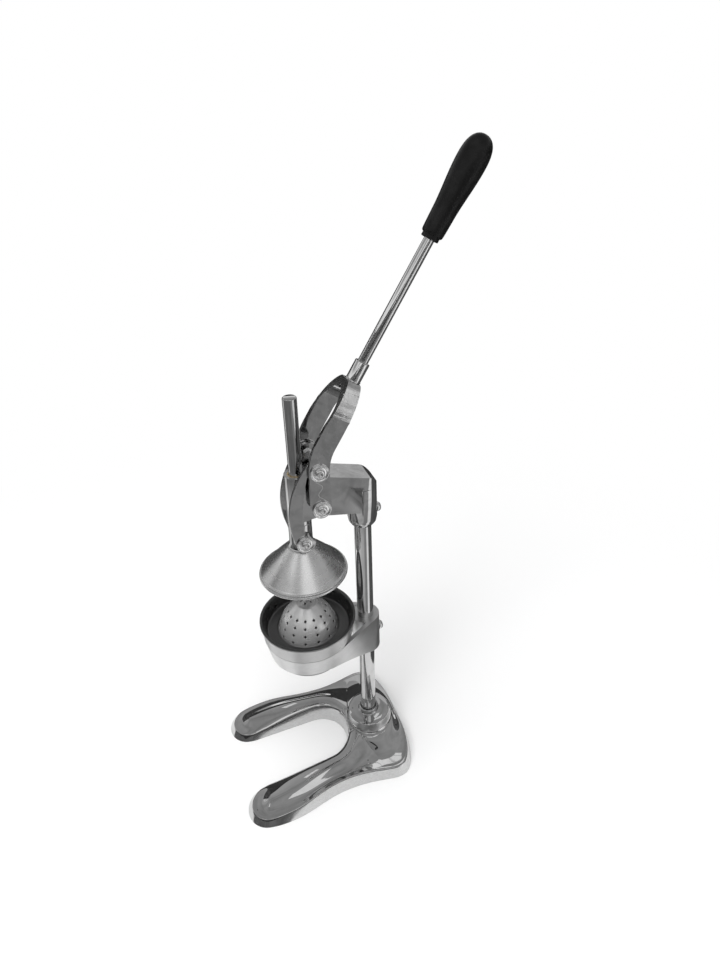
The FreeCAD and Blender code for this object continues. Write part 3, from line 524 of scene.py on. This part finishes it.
def foot():
    bench, inner = foot_sections()
    bm = bmesh.new()
    ring = bmesh.ops.create_circle(bm, segments=len(bench), radius=100.0, cap_ends=False)["verts"]

    def lay(verts, row):
        for vert, (x, y, share, edge), end in zip(verts, bench, inner):
            start = Vector((x, y, 0))
            reach = Vector((end[0], end[1], 0)) - start
            length = reach.length
            inset, way, wall, rise = outer_rows[row]
            bay_way, bay_rise = bay_rows[row]
            inset = min(inset, most_inset * length)
            out_far = (inset + way * (length - inset)) / length
            out_high = edge * wall + rise * (end[2] - edge * wall)
            far = share * out_far + (1 - share) * bay_way
            high = share * out_high + (1 - share) * bay_rise * end[2]
            vert.co = start + reach * far + Vector((0, 0, high))

    lay(ring, 0)
    current = ring
    for row in range(1, len(outer_rows)):
        current = next_ring(bm, current)
        lay(current, row)
    current = next_ring(bm, current)
    for vert, end in zip(current, inner):
        vert.co = Vector(end)
    top = current
    # Underside: in from the bench edge to the same lines, at the bench
    current = ring
    for inset, way in ((0.7, 0.0), (0.7, 0.5), (0.7, 1.0)):
        current = next_ring(bm, current)
        for vert, (x, y, share, edge), end in zip(current, bench, inner):
            start = Vector((x, y, 0))
            reach = Vector((end[0], end[1], 0)) - start
            vert.co = start + reach * min(1.0, way + inset * (1 - way) / reach.length)
    bmesh.ops.remove_doubles(bm, verts=top + current, dist=0.01)

    def open_ring(near_height):
        return [e for e in bm.edges if e.is_boundary and abs(e.verts[0].co.z - near_height) < 8]

    def pull(edges, steps):
        """Carry a round opening on through (radius, height, share of the height that is level)."""
        for radius, height, level in steps:
            verts, edges = drawn_on(bm, edges)
            for vert in verts:
                move_out(vert, radius, vert.co.z * (1 - level) + height * level)
        return edges

    upper = pull(open_ring(24), [
        (30.2, 24.5, 0.25), (29.2, 26, 0.5), (28.4, 28.4, 0.8), (27.8, 31, 1), (27.5, 34, 1),
        (27.4, 35.2, 1), (27.0, 35.8, 1), (26.2, 36.1, 1), (20, 36.5, 1), (14.2, 36.9, 1),
        (13.2, 37.2, 1), (12.7, 38, 1), (12.5, 40, 1), (12.5, 43, 1), (12.3, 43.7, 1), (11.8, 44, 1),
        (10.9, 44, 1), (10.3, 43.4, 1), (10.15, 42, 1), (10.15, 34, 1)])
    bmesh.ops.edgeloop_fill(bm, edges=upper)
    lower = pull(open_ring(0), [(20, 0, 1), (13, 0, 1), (13, 8, 1), (4.1, 8, 1), (4.1, 14, 1)])
    bmesh.ops.edgeloop_fill(bm, edges=lower)
    bmesh.ops.recalc_face_normals(bm, faces=bm.faces)
    return to_piece(bm, "foot_casting", base_plate, "frame", ["base_foot"], 50.0)


foot()


# Turned pieces

def spun(points, steps=72, closed=False):
    """Turn a profile about Z. A point is a radius, a height and, where its corner is eased, how far."""
    bm = bmesh.new()
    verts = [bm.verts.new((point[0], 0, point[1])) for point in points]
    runs = list(zip(verts, verts[1:]))
    if closed:
        runs.append((verts[-1], verts[0]))
    for run in runs:
        bm.edges.new(run)
    for width in sorted({point[2] for point in points if len(point) > 2}):
        corners = [vert for vert, point in zip(verts, points) if len(point) > 2 and point[2] == width]
        bmesh.ops.bevel(bm, geom=corners, offset=width, offset_type="OFFSET", segments=3, profile=0.5,
                        affect="VERTICES", material=-1)
    bmesh.ops.spin(bm, geom=bm.verts[:] + bm.edges[:], cent=(0, 0, 0), axis=(0, 0, 1), angle=2 * math.pi,
                   steps=steps, use_merge=True)
    bmesh.ops.remove_doubles(bm, verts=bm.verts, dist=0.001)
    bmesh.ops.recalc_face_normals(bm, faces=bm.faces)
    return bm


def stood_on(bm, centre, axis=(0, 0, 1)):
    turn = Vector(axis).to_track_quat("Z", "Y").to_matrix().to_4x4()
    bmesh.ops.transform(bm, matrix=Matrix.Translation(centre) @ turn, verts=bm.verts)
    return bm


def with_twin(bm):
    """Add the same shape on the other side of the middle plane."""
    made = bmesh.ops.duplicate(bm, geom=bm.verts[:] + bm.edges[:] + bm.faces[:])["geom"]
    bmesh.ops.scale(bm, vec=(-1, 1, 1), verts=only(bmesh.types.BMVert, made))
    bmesh.ops.reverse_faces(bm, faces=only(bmesh.types.BMFace, made))
    return bm


def sink_socket(bm, radius, top, bottom):
    """Sink a six-sided socket into the round opening left in a screw's head."""
    edges = [edge for edge in bm.edges if edge.is_boundary]
    for height in (top, top - 0.12, bottom):
        verts, edges = drawn_on(bm, edges)
        for vert in verts:
            turn = math.atan2(vert.co.y, vert.co.x)
            far = radius * math.cos(math.pi / 6) / math.cos(turn % (math.pi / 3) - math.pi / 6)
            if height == top:
                far += 0.12
            vert.co = Vector((far * math.cos(turn), far * math.sin(turn), height))
    bmesh.ops.edgeloop_fill(bm, edges=edges)
    bmesh.ops.recalc_face_normals(bm, faces=bm.faces)
    return bm


def lever_point(distance, setback=0.0):
    """A point on the lever's leaning line, or behind it."""
    return fork_bend + along * distance + behind * setback


def rods():
    to_piece(spun([(0, 44), (4, 44, 0.3), (4, 14), (9.2, 14, 0.3), (10, 14.8, 0.3), (10, 401.2, 0.4),
                   (9.2, 402, 0.4), (0, 402)], 96),
             "column_finished", column_plate, "frame", ["column"])
    rod = spun([(0, 339), (6.7, 339, 0.2), (7.5, 339.8, 0.2), (7.5, 516.0, 0.5), (6.6, 517, 0.5),
                (0, 517)], 80)
    to_piece(stood_on(rod, (0, press_y, 0)), "press_rod_finished", rod_plate, "press", ["press_rod"])
    bush = spun([(7.55, 368.5, 0.2), (9.5, 368.5, 0.2), (9.5, 428, 0.3), (7.55, 428, 0.4)], 64, closed=True)
    to_piece(stood_on(bush, (0, press_y, 0)), "guide_bush_finished", brass, "frame", ["guide_bush"])
    rod = spun([(0, 0), (5.5, 0, 0.2), (5.5, 215, 0.3), (0, 215)], 64)
    to_piece(stood_on(rod, lever_point(90, handle_setback), along), "handle_rod_finished", handle_plate,
             "lever", ["handle_rod"])
    collar = spun([(0, 0), (8, 0, 0.1), (8, 6.2), (8.35, 6.7), (8.45, 7.3), (8.35, 7.9), (8, 8.3),
                   (8, 28.5, 0.25), (6.6, 28.5, 0.2), (5.5, 27.2, 0.2), (5.5, 12.5), (0, 12.5)], 64)
    to_piece(stood_on(collar, lever_point(77.5, handle_setback), along), "socket_collar_finished",
             collar_plate, "lever", ["socket_collar"])


def grip():
    swell = smooth_through([
        (10.9, 5.2), (11.35, 8), (11.8, 20), (12.2, 33), (13.1, 45), (14.2, 57), (15.05, 68), (15.42, 79),
        (15.15, 87), (14.15, 93.6), (12.5, 98.6), (10.2, 102.4), (7.6, 104.9), (4.8, 106.4), (2.7, 106.9)],
        14, 3)
    bm = spun([(0, 62), (5.5, 62), (5.5, 0, 0.3), (9.2, 0, 0.7), (9.2, 4.1, 0.3), (10.2, 4.4, 0.3)] + swell
              + [(2.2, 106.6), (1.9, 105.6, 0.2), (0, 105.4)], 72)
    to_piece(stood_on(bm, lever_point(243, handle_setback), along), "grip_finished", black, "lever",
             ["grip"], 40.0)


def screws():
    across = (1, 0, 0)
    for name, seat, centre, body in (("crank", 28.1, crank_pivot, "lever"),
                                     ("lever_pivot", 28.4, lever_pivot, "frame"),
                                     ("hood_pivot", 22.7, hood_pivot, "press")):
        shank = 1.6 if name == "crank" else 9.0
        head = [(5.2, 0, 0.15), (5.2, 1.5), (5.05, 2.2), (4.7, 2.75), (4.15, 3.18), (3.45, 3.46),
                (2.75, 3.58)]
        start = [(0, -shank), (2.5, -shank), (2.5, 0)]
        if name == "crank":
            start = [(0, -6.6), (4.0, -6.6, 0.2), (4.0, -1.6), (2.5, -1.6), (2.5, 0)]
        bm = sink_socket(spun(start + head, 48), 2.2, 3.5, 1.6)
        to_piece(with_twin(stood_on(bm, centre + Vector((seat, 0, 0)), across)), name + "_screws_finished",
                 screw_steel, body, [name + "_screws"], 30.0)
        bm = spun([(2.55, 0), (10, 0, 0.25), (10, 2.2, 0.3), (9.0, 2.2, 0.3), (8.2, 1.5, 0.3),
                   (7.2, 1.15, 0.4), (5.6, 1.6, 0.2), (2.55, 1.6)], 80, closed=True)
        to_piece(with_twin(stood_on(bm, centre + Vector((seat - 1.6, 0, 0)), across)),
                 name + "_washers_finished", washer_steel, body, [name + "_washers"],
                 30.0)
    for name, half, centre, body in (("lever_pivot_pin", 26.8, lever_pivot, "frame"),
                                     ("hood_pivot_pin", 21.1, hood_pivot, "press")):
        bm = spun([(0, 9 - half), (2.5, 9 - half), (2.5, -half, 0.2), (4.5, -half, 0.3), (4.5, half, 0.3),
                   (2.5, half, 0.2), (2.5, half - 9), (0, half - 9)], 48)
        to_piece(stood_on(bm, centre, across), name + "_finished", screw_steel, body, [name])
    bm = spun([(4.5, 13, 0.2), (8, 13, 0.4), (8, 21.2, 0.4), (4.5, 21.2, 0.2)], 56, closed=True)
    to_piece(with_twin(stood_on(bm, lever_pivot, across)), "lever_spacers_finished", screw_steel, "frame",
             ["lever_spacers"])
    for node, height, seat in (("bracket_set_screw", 181, 17.0), ("head_set_screw", 362, 17.0)):
        bm = spun([(0, 10 - seat), (3, 10 - seat, 0.3), (3, 0), (5.6, 0, 0.3), (5.6, 1.2), (5.5, 2.1),
                   (5.2, 2.95), (4.7, 3.7), (4.1, 4.3), (3.4, 4.75), (2.8, 4.98)], 48)
        bm = sink_socket(bm, 2.3, 4.9, 2.4)
        to_piece(stood_on(bm, (0, seat, height), (0, 1, 0)), node + "_finished", screw_steel, "frame",
                 [node], 30.0)
    bm = spun([(4.0, 6.4, 0.1), (10, 6.4, 0.3), (10, 8.0, 0.3), (4.0, 8.0, 0.1)], 56, closed=True)
    to_piece(bm, "column_foot_washer_finished", screw_steel, "frame", ["column_foot_washer"])


# Bowl, strainer and hood

def bowl():
    outer = smooth_through([(43.8, 182), (42.9, 177.5), (40.4, 172.6), (36.4, 169.4), (31, 168)], 4, 4)
    inner = smooth_through([(31, 169), (36.0, 170.3), (39.7, 173.3), (42.0, 177.9), (42.8, 182)], 4, 4)
    bm = spun([(57, 227, 0.7), (55.6, 227, 0.5), (53.3, 207.3, 0.7), (49.3, 207.3, 0.4)] + outer
              + [(9, 166, 0.8), (9, 159, 0.4), (8, 159, 0.4), (8, 167, 0.8)] + inner
              + [(48.3, 208.3, 0.5), (52.3, 208.3, 0.6), (54.6, 229, 0.5), (57, 229, 0.7)], 112,
              closed=True)
    to_piece(stood_on(bm, (0, press_y, 0)), "bowl_finished", bowl_steel, "bowl", ["bowl"])


# Rows of the strainer's sheet from the flange to the cap: radius, height, and the column of the first hole
strainer_rows = [
    (57, 229.7, None), (55.6, 229.75, None), (54.4, 229.5, None), (53.7, 228.4, None),
    (53.1, 226.6, None), (52.4, 224.5, 3), (51.6, 221.6, None), (50.75, 218.5, 1), (50.1, 216.2, None),
    (49.5, 214.5, None), (48.5, 213.6, None), (46.0, 213.4, None), (42.0, 213.4, None),
    (38.6, 213.45, None), (36.6, 213.9, None), (35.3, 215.0, None), (34.6, 217.2, 0),
    (33.6, 221.5, None), (32.0, 225.9, 0), (30.2, 229.9, None), (28.0, 233.6, 0), (25.3, 237.0, None),
    (22.4, 240.2, 0), (19.2, 243.3, None), (15.8, 246.4, None), (12.8, 249.3, None),
    (11.7, 250.2, None), (11.2, 250.25, None), (10.7, 250.6, None), (9.8, 251.2, None),
]
cap_rows = [(8.7, 251.5, None), (6.0, 252.5, 0), (3.6, 253.3, None), (1.6, 253.9, None)]
hole_cut, sheet_thickness, strainer_turn = 2.15, 0.8, math.radians(4.7)


def sheet_rings(bm, rows, count):
    """Round rows of points joined up into a sheet; gives each row's points and the first and last ring."""
    ring = bmesh.ops.create_circle(bm, segments=count, radius=rows[0][0], cap_ends=False)["verts"]
    for vert in ring:
        vert.co.z = rows[0][1]
    made_rows = [ring]
    for row in rows[1:]:
        made_rows.append(next_ring(bm, made_rows[-1]))
        for vert in made_rows[-1]:
            move_out(vert, row[0], row[1])
    return made_rows


def strainer():
    bm = bmesh.new()
    body = sheet_rings(bm, strainer_rows, 56)
    cap = sheet_rings(bm, cap_rows, 20)
    bmesh.ops.bridge_loops(bm, edges=ring_edges(body[-1]) + ring_edges(cap[0]))
    bmesh.ops.edgeloop_fill(bm, edges=ring_edges(cap[-1]))
    pierced = []
    for rows, rings in ((strainer_rows, body), (cap_rows, cap)):
        for row, ring in zip(rows, rings):
            first = row[2]
            if first is not None:
                # The 0.01 keeps the point on the X axis first.
                pierced += sorted(ring, key=lambda vert: (math.atan2(vert.co.y, vert.co.x) + 0.01)
                                  % (2 * math.pi))[first::4]
    made = bmesh.ops.bevel(bm, geom=pierced, offset=hole_cut, offset_type="OFFSET", segments=3,
                           profile=0.5, affect="VERTICES", material=-1)["faces"]
    bmesh.ops.delete(bm, geom=made, context="FACES")
    bmesh.ops.recalc_face_normals(bm, faces=bm.faces)
    bmesh.ops.rotate(bm, cent=(0, 0, 0), matrix=Matrix.Rotation(strainer_turn, 3, "Z"), verts=bm.verts)
    piece = to_piece(stood_on(bm, (0, press_y, 0)), "strainer_finished", strainer_steel, "strainer",
                     ["strainer"], 60.0)
    sheet = piece.modifiers.new("sheet", "SOLIDIFY")
    sheet.thickness = sheet_thickness * MM
    sheet.offset = 0.0
    sheet.use_even_offset = True
    soft = piece.modifiers.new("drawn_smooth", "SUBSURF")
    soft.levels = soft.render_levels = 1


def hood():
    over = smooth_through([(15.6, 335.6), (24, 327.2), (33, 317.8), (42, 307.9), (46.2, 303.3)], 4, 4)
    under = smooth_through([(45.2, 302.6), (41.2, 307.0), (32.2, 316.8), (23.2, 326.2), (14.8, 334.5)],
                           4, 4)
    bead = smooth_through([
        (47.2, 302.45), (48.0, 301.95), (48.35, 301.45), (48.3, 301.05), (48.75, 300.95),
        (49.5, 300.85), (50.1, 300.4), (50.38, 299.7), (50.32, 298.9), (49.8, 298.15), (49.0, 297.82),
        (48.1, 297.95), (47.4, 298.55), (47.1, 299.4), (46.7, 300.6)], 14, 2)
    bm = spun([(8.05, 336), (14.2, 336, 0.8)] + over + bead + under + [(14.0, 334.8, 0.4), (8.05, 334.8)],
              128, closed=True)
    to_piece(stood_on(bm, (0, press_y, 0)), "hood_finished", hood_steel, "press", ["hood"],
             50.0)


def through_three(first, middle, last):
    """Centre and radius of the circle through three points of a plane."""
    (ax, ay), (bx, by), (cx, cy) = first, middle, last
    twice = 2 * (ax * (by - cy) + bx * (cy - ay) + cx * (ay - by))
    a, b, c = ax * ax + ay * ay, bx * bx + by * by, cx * cx + cy * cy
    x = (a * (by - cy) + b * (cy - ay) + c * (ay - by)) / twice
    y = (a * (cx - bx) + b * (ax - cx) + c * (bx - ax)) / twice
    return x, y, math.hypot(ax - x, ay - y)


# The fork in its own measures: half its width, and the distances up its line where its cheeks are reshaped,
# where they stop being straight, where the last slice is and where the reshaping ends
fork_half, fork_start, fork_straight, fork_last_slice, fork_end = 26.5, 12, 44, 83.5, 83.9
slice_step = 3
outside_room = 0.12
fork_outline = [(26.5, 12), (26.5, 24), (26.4, 34), (26.1, 44), (25.4, 52), (23.9, 60), (21.3, 68),
                (18.4, 74), (14.6, 79.4), (11.7, 82.4), (9.5, 84), (8, 85)]


def fork():
    """The lever's fork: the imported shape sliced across, its cheeks drawn smoothly in to the crown."""
    bm = merged_copy("lever_fork")
    middle_x, middle_z, radius = through_three((fork_half, fork_straight), (22, 68), (9.5, 84))
    curve = smooth_through(fork_outline, len(fork_outline) - 1, 8)
    for cut in range(fork_start, math.ceil(fork_last_slice), slice_step):
        bmesh.ops.bisect_plane(bm, geom=bm.verts[:] + bm.edges[:] + bm.faces[:], dist=0.001,
                               plane_co=lever_point(cut), plane_no=along)
    for vert in bm.verts:
        distance = (vert.co - fork_bend).dot(along)
        packed_half = fork_half if distance < fork_straight else middle_x + math.sqrt(
            max(0.0, radius ** 2 - (distance - middle_z) ** 2))
        on_outside = abs(abs(vert.co.x) - packed_half) < outside_room
        if fork_start < distance < fork_end and on_outside:
            before, after = next((a, b) for a, b in zip(curve, curve[1:]) if a[1] <= distance <= b[1])
            share = (distance - before[1]) / (after[1] - before[1])
            vert.co.x = math.copysign(before[0] + share * (after[0] - before[0]), vert.co.x)
    rounded(to_piece(bm, "lever_fork_finished", lever_plate, "lever", ["lever_fork"]),
            1.3, 4)


rods()
grip()
screws()
fork()
bowl()
strainer()
hood()
for node, finish, body, slot, width in (
        ("column_foot_screw", screw_steel, "frame", "fastener_steel", 0.3),
        ("cup_bracket", bracket_satin, "frame", "satin_casting", 1.0),
        ("head_casting", head_plate, "frame", "plated_casting", 1.6),
        ("hood_hub", hub_plate, "press", "plated_casting", 0.8),
        ("hood_nut", screw_steel, "press", "fastener_steel", 0.4),
        ("link_right", link_plate, "links", "plated_steel", 0.8),
        ("link_left", link_plate, "links", "plated_steel", 0.8),
        ("crank_nuts", screw_steel, "links", "fastener_steel", 0.4)):
    cast_piece(node, finish, body, width)


# Floor, lamps, world and camera

def floor():
    """White bench. It shows the object's shadow nearby and runs out into plain white."""
    bm = bmesh.new()
    bmesh.ops.create_grid(bm, x_segments=2, y_segments=2, size=40.0)
    finish = Finish("floor_white")
    here = finish.place(centre=(0, middle_y * MM, 0))
    seen = sum(finish.node("ShaderNodeLightPath", output=kind)
               for kind in ("Is Camera Ray", "Is Glossy Ray", "Is Transmission Ray"))
    cloud = finish.noise(here, 3.0, 2.0, 0.5)
    paint = finish.node("ShaderNodeBsdfPrincipled", {}, {
        "Base Color": finish.mixed(cloud, grey(0.93), grey(0.945)), "Roughness": 0.7,
        "Specular IOR Level": 0.2})
    white = finish.node("ShaderNodeEmission", {}, {"Color": grey(1.0), "Strength": 1.0})
    # The shadow's ground ends here, and plain white starts there, in metres from the middle
    shadow_end, white_start = 0.35, 1.0
    finish.end(finish.node("ShaderNodeMixShader", {}, {
        0: finish.length(here).between(shadow_end, white_start) * seen.clamped(), 1: paint, 2: white}))
    meshed(bm, "floor", finish.material)


def reflected_only(bm, name, material):
    """A studio card that only shows in reflections."""
    card = meshed(bm, name, material)
    card.visible_camera = False
    card.visible_diffuse = False
    card.visible_shadow = False


def window(name, spot, way, far, size, turn, light, panes):
    """Bright panes seen in the spot's reflection, far metres away along way."""
    finish = Finish(name + "_glow")
    cloud = finish.noise(finish.place(), 6.0, 2.0, 0.5)
    finish.end(finish.node("ShaderNodeEmission", {}, {
        "Color": finish.mixed(cloud, grey(light * 0.8), grey(light)), "Strength": 1.0}))
    pane_share = 0.9
    bm = bmesh.new()
    for pane in range(panes):
        made = bmesh.ops.create_grid(bm, x_segments=1, y_segments=1, size=0.5)["verts"]
        bmesh.ops.scale(bm, vec=(size[0] * pane_share / panes, size[1], 1), verts=made)
        bmesh.ops.translate(bm, vec=((pane - (panes - 1) / 2) * size[0] / panes, 0, 0), verts=made)
    aim = (Vector(way) * -1).to_track_quat("-Z", "Y").to_matrix().to_4x4()
    place = Matrix.Translation(Vector(spot) + Vector(way).normalized() * far)
    bmesh.ops.transform(bm, matrix=place @ aim @ Matrix.Rotation(turn, 4, "Z"), verts=bm.verts)
    reflected_only(bm, name, finish.material)


def bench_card():
    """Grey cloth round the object, with a wall at its edge, for the plated parts to mirror.

    It is lighter near by and has bright and dark stripes on chosen bearings."""
    hole, cloth_reach, wall_reach, wall_height, lift = 0.17, 2.0, 2.1, 1.3, 0.002
    bm = bmesh.new()
    edges = ring_edges(bmesh.ops.create_circle(bm, segments=96, radius=hole)["verts"])
    for radius, height in ((cloth_reach, 0.0), (wall_reach, wall_height)):
        verts, edges = drawn_on(bm, edges)
        for vert in verts:
            move_out(vert, radius, height)
    bmesh.ops.translate(bm, vec=(0, middle_y * MM, lift), verts=bm.verts)
    finish = Finish("bench_cloth")
    here = finish.place(centre=(0, middle_y * MM, 0))
    flat = finish.node("ShaderNodeVectorMath", {"operation": "MULTIPLY"}, {0: here, 1: (1, 1, 0)})
    x, y = finish.axes(finish.node("ShaderNodeVectorMath", {"operation": "NORMALIZE"}, {0: flat}))[:2]
    high = finish.axes(here)[2]
    # Bearings in radians from +X towards +Y, heights and distances in metres
    bearing = y.math("ARCTAN2", x)
    near = finish.length(flat).between(0.75, 0.45)
    left = bearing.between(0.10, -0.15) * (near * 0.30 - 0.12) + ((y * -1.0).clamped() ** 4.0) * near * 0.25
    right = bearing.between(0.95, 1.05) * 0.17
    stripe_right = bearing.between(0.50, 0.54) * bearing.between(0.95, 0.91) * 0.62
    stripe_left = bearing.between(-1.9, -2.0) * bearing.between(-2.5, -2.4) * 0.5
    rear = ((x * -1.0).clamped() ** 2.0) * 0.10
    cloud = finish.noise(here, 2.5, 3.0, 0.5)
    ahead = bearing.between(0.30, 0.42) * bearing.between(1.30, 1.20)
    shelf = high.between(0.05, 0.08) * high.between(0.42, 0.40) * 0.55 * ahead
    dark_rail = high.between(0.42, 0.44) * high.between(0.62, 0.60) * 0.22
    shade = (left - right - rear + (stripe_right + stripe_left) + 0.27 + (cloud - 0.5) * 0.16 + shelf
             - dark_rail).clamped(0.04, brightest)
    reflected_only(bm, "bench_card", finish.surface(color=shade, roughness=0.9, metallic=0.0, specular=0.0))


def light_from(name, kind, energy, direction):
    """A light that shines from a direction and stays out of reflections."""
    data = bpy.data.lights.new(name, kind)
    data.energy = energy
    light = bpy.data.objects.new(name, data)
    light.rotation_euler = (-Vector(direction)).to_track_quat("-Z", "Y").to_euler()
    light.visible_glossy = False
    bpy.context.scene.collection.objects.link(light)
    return light


def lights():
    overhead = light_from("soft_overhead", "SUN", 2.0, (0.35, -0.35, 1.0))
    overhead.data.angle = math.radians(60.0)
    spot, target = Vector((0.9, -1.5, 1.7)), Vector((0, middle_y * MM, 0.3))
    key = light_from("key_softbox", "AREA", 9.0, spot - target)
    key.data.shape = "RECTANGLE"
    key.data.size = key.data.size_y = 0.8
    key.location = spot
    key.visible_camera = False


# White near the horizon and a grey, uneven ceiling for the plate to mirror; heights are Z of a direction
white_below, ceiling_above = 0.40, 0.47


def world():
    made = bpy.data.worlds.new("studio")
    bpy.context.scene.world = made
    made.use_nodes = True
    sky = Paint(made.node_tree)
    way = sky.node("ShaderNodeTexCoord", output="Generated")
    high = sky.axes(way)[2]
    shade = sky.ramp(high, ((0.0, 1.0), (white_below, 1.0), (ceiling_above, 0.40), (0.9, 0.30)))
    patches = sky.ramp(sky.node("ShaderNodeTexNoise", {}, {"Vector": way, "Scale": 2.6, "Detail": 3.0}),
                       ((0.34, 0.78), (0.66, 1.22)))
    above = sky.node("ShaderNodeMapRange", {},
                     {"Value": high, "From Min": white_below, "From Max": ceiling_above})
    back = sky.node("ShaderNodeBackground", {},
                    {"Color": sky.mixed(above, shade, patches, "MULTIPLY"), "Strength": 1.0})
    sky.end(back, "ShaderNodeOutputWorld")


def camera():
    """Camera at the photograph's angle, fitted for a 720 x 960 picture."""
    azimuth, elevation, roll = math.radians(69.0), math.radians(27.0), math.radians(-0.9)
    focal_pixels, right_pixels, down_pixels, picture_pixels, sensor = 650.0, -20.1, -60.6, 960.0, 36.0
    back = Vector((math.sin(azimuth) * math.cos(elevation), -math.cos(azimuth) * math.cos(elevation),
                   math.sin(elevation)))
    right = Vector((0, 0, 1)).cross(back).normalized()
    up = back.cross(right)
    turned_right = right * math.cos(roll) + up * math.sin(roll)
    turned_up = up * math.cos(roll) - right * math.sin(roll)
    data = bpy.data.cameras.new("camera")
    data.sensor_width = sensor
    data.lens = focal_pixels / picture_pixels * sensor
    data.shift_x = right_pixels / picture_pixels
    data.shift_y = down_pixels / picture_pixels
    data.clip_start = 0.02
    data.clip_end = 60.0
    holder = bpy.data.objects.new("camera", data)
    matrix = Matrix((turned_right, turned_up, back)).transposed().to_4x4()
    matrix.translation = Vector((0.5802, -0.1991, 0.7894))
    holder.matrix_world = matrix
    bpy.context.scene.collection.objects.link(holder)
    bpy.context.scene.camera = holder


floor()
world()
camera()
lights()
# Name, the spot it shows at, the way its reflection goes, distance, size, turn, brightness and panes
for card in (
        ("window_deck", (0.071, 0.004, 0.0144), (-0.442, 0.258, 0.859), 1.0, (0.13, 0.10), 0.35, 1.0, 4),
        ("window_arm", (0.0685, -0.1036, 0.0165), (0.52, 0.02, 0.84), 1.3, (0.70, 0.42), 0.0, 1.0, 1),
        ("window_boss", (0.02, -0.005, 0.03), (-0.62, -0.15, 0.77), 1.3, (0.14, 0.08), 0.2, 0.95, 3),
        ("window_cheek", (0.0256, -0.0228, 0.4944), (0.80, 0.52, -0.12), 1.1, (0.11, 0.62), -0.62, 1.0, 2),
        ("window_hood", (0.0375, -0.072, 0.3129), (0.713, 0.10, 0.669), 1.4, (0.45, 0.35), 0.0, 1.0, 1),
        ("window_dome", (0.0, -0.085, 0.24), (0.30, -0.60, 0.74), 1.4, (0.5, 0.4), 0.0, 1.0, 3),
        ("window_head", (0.0, -0.005, 0.4145), (-0.81, 0.515, 0.27), 1.0, (0.60, 0.42), 0.0, 0.62, 1),
        ("window_grip", (0.015, 0.1164, 0.7293), (0.90, -0.42, 0.225), 1.3, (0.22, 0.60), -0.4, 1.0, 1)):
    window(*card)
bench_card()
bpy.context.scene.view_settings.view_transform = "Standard"
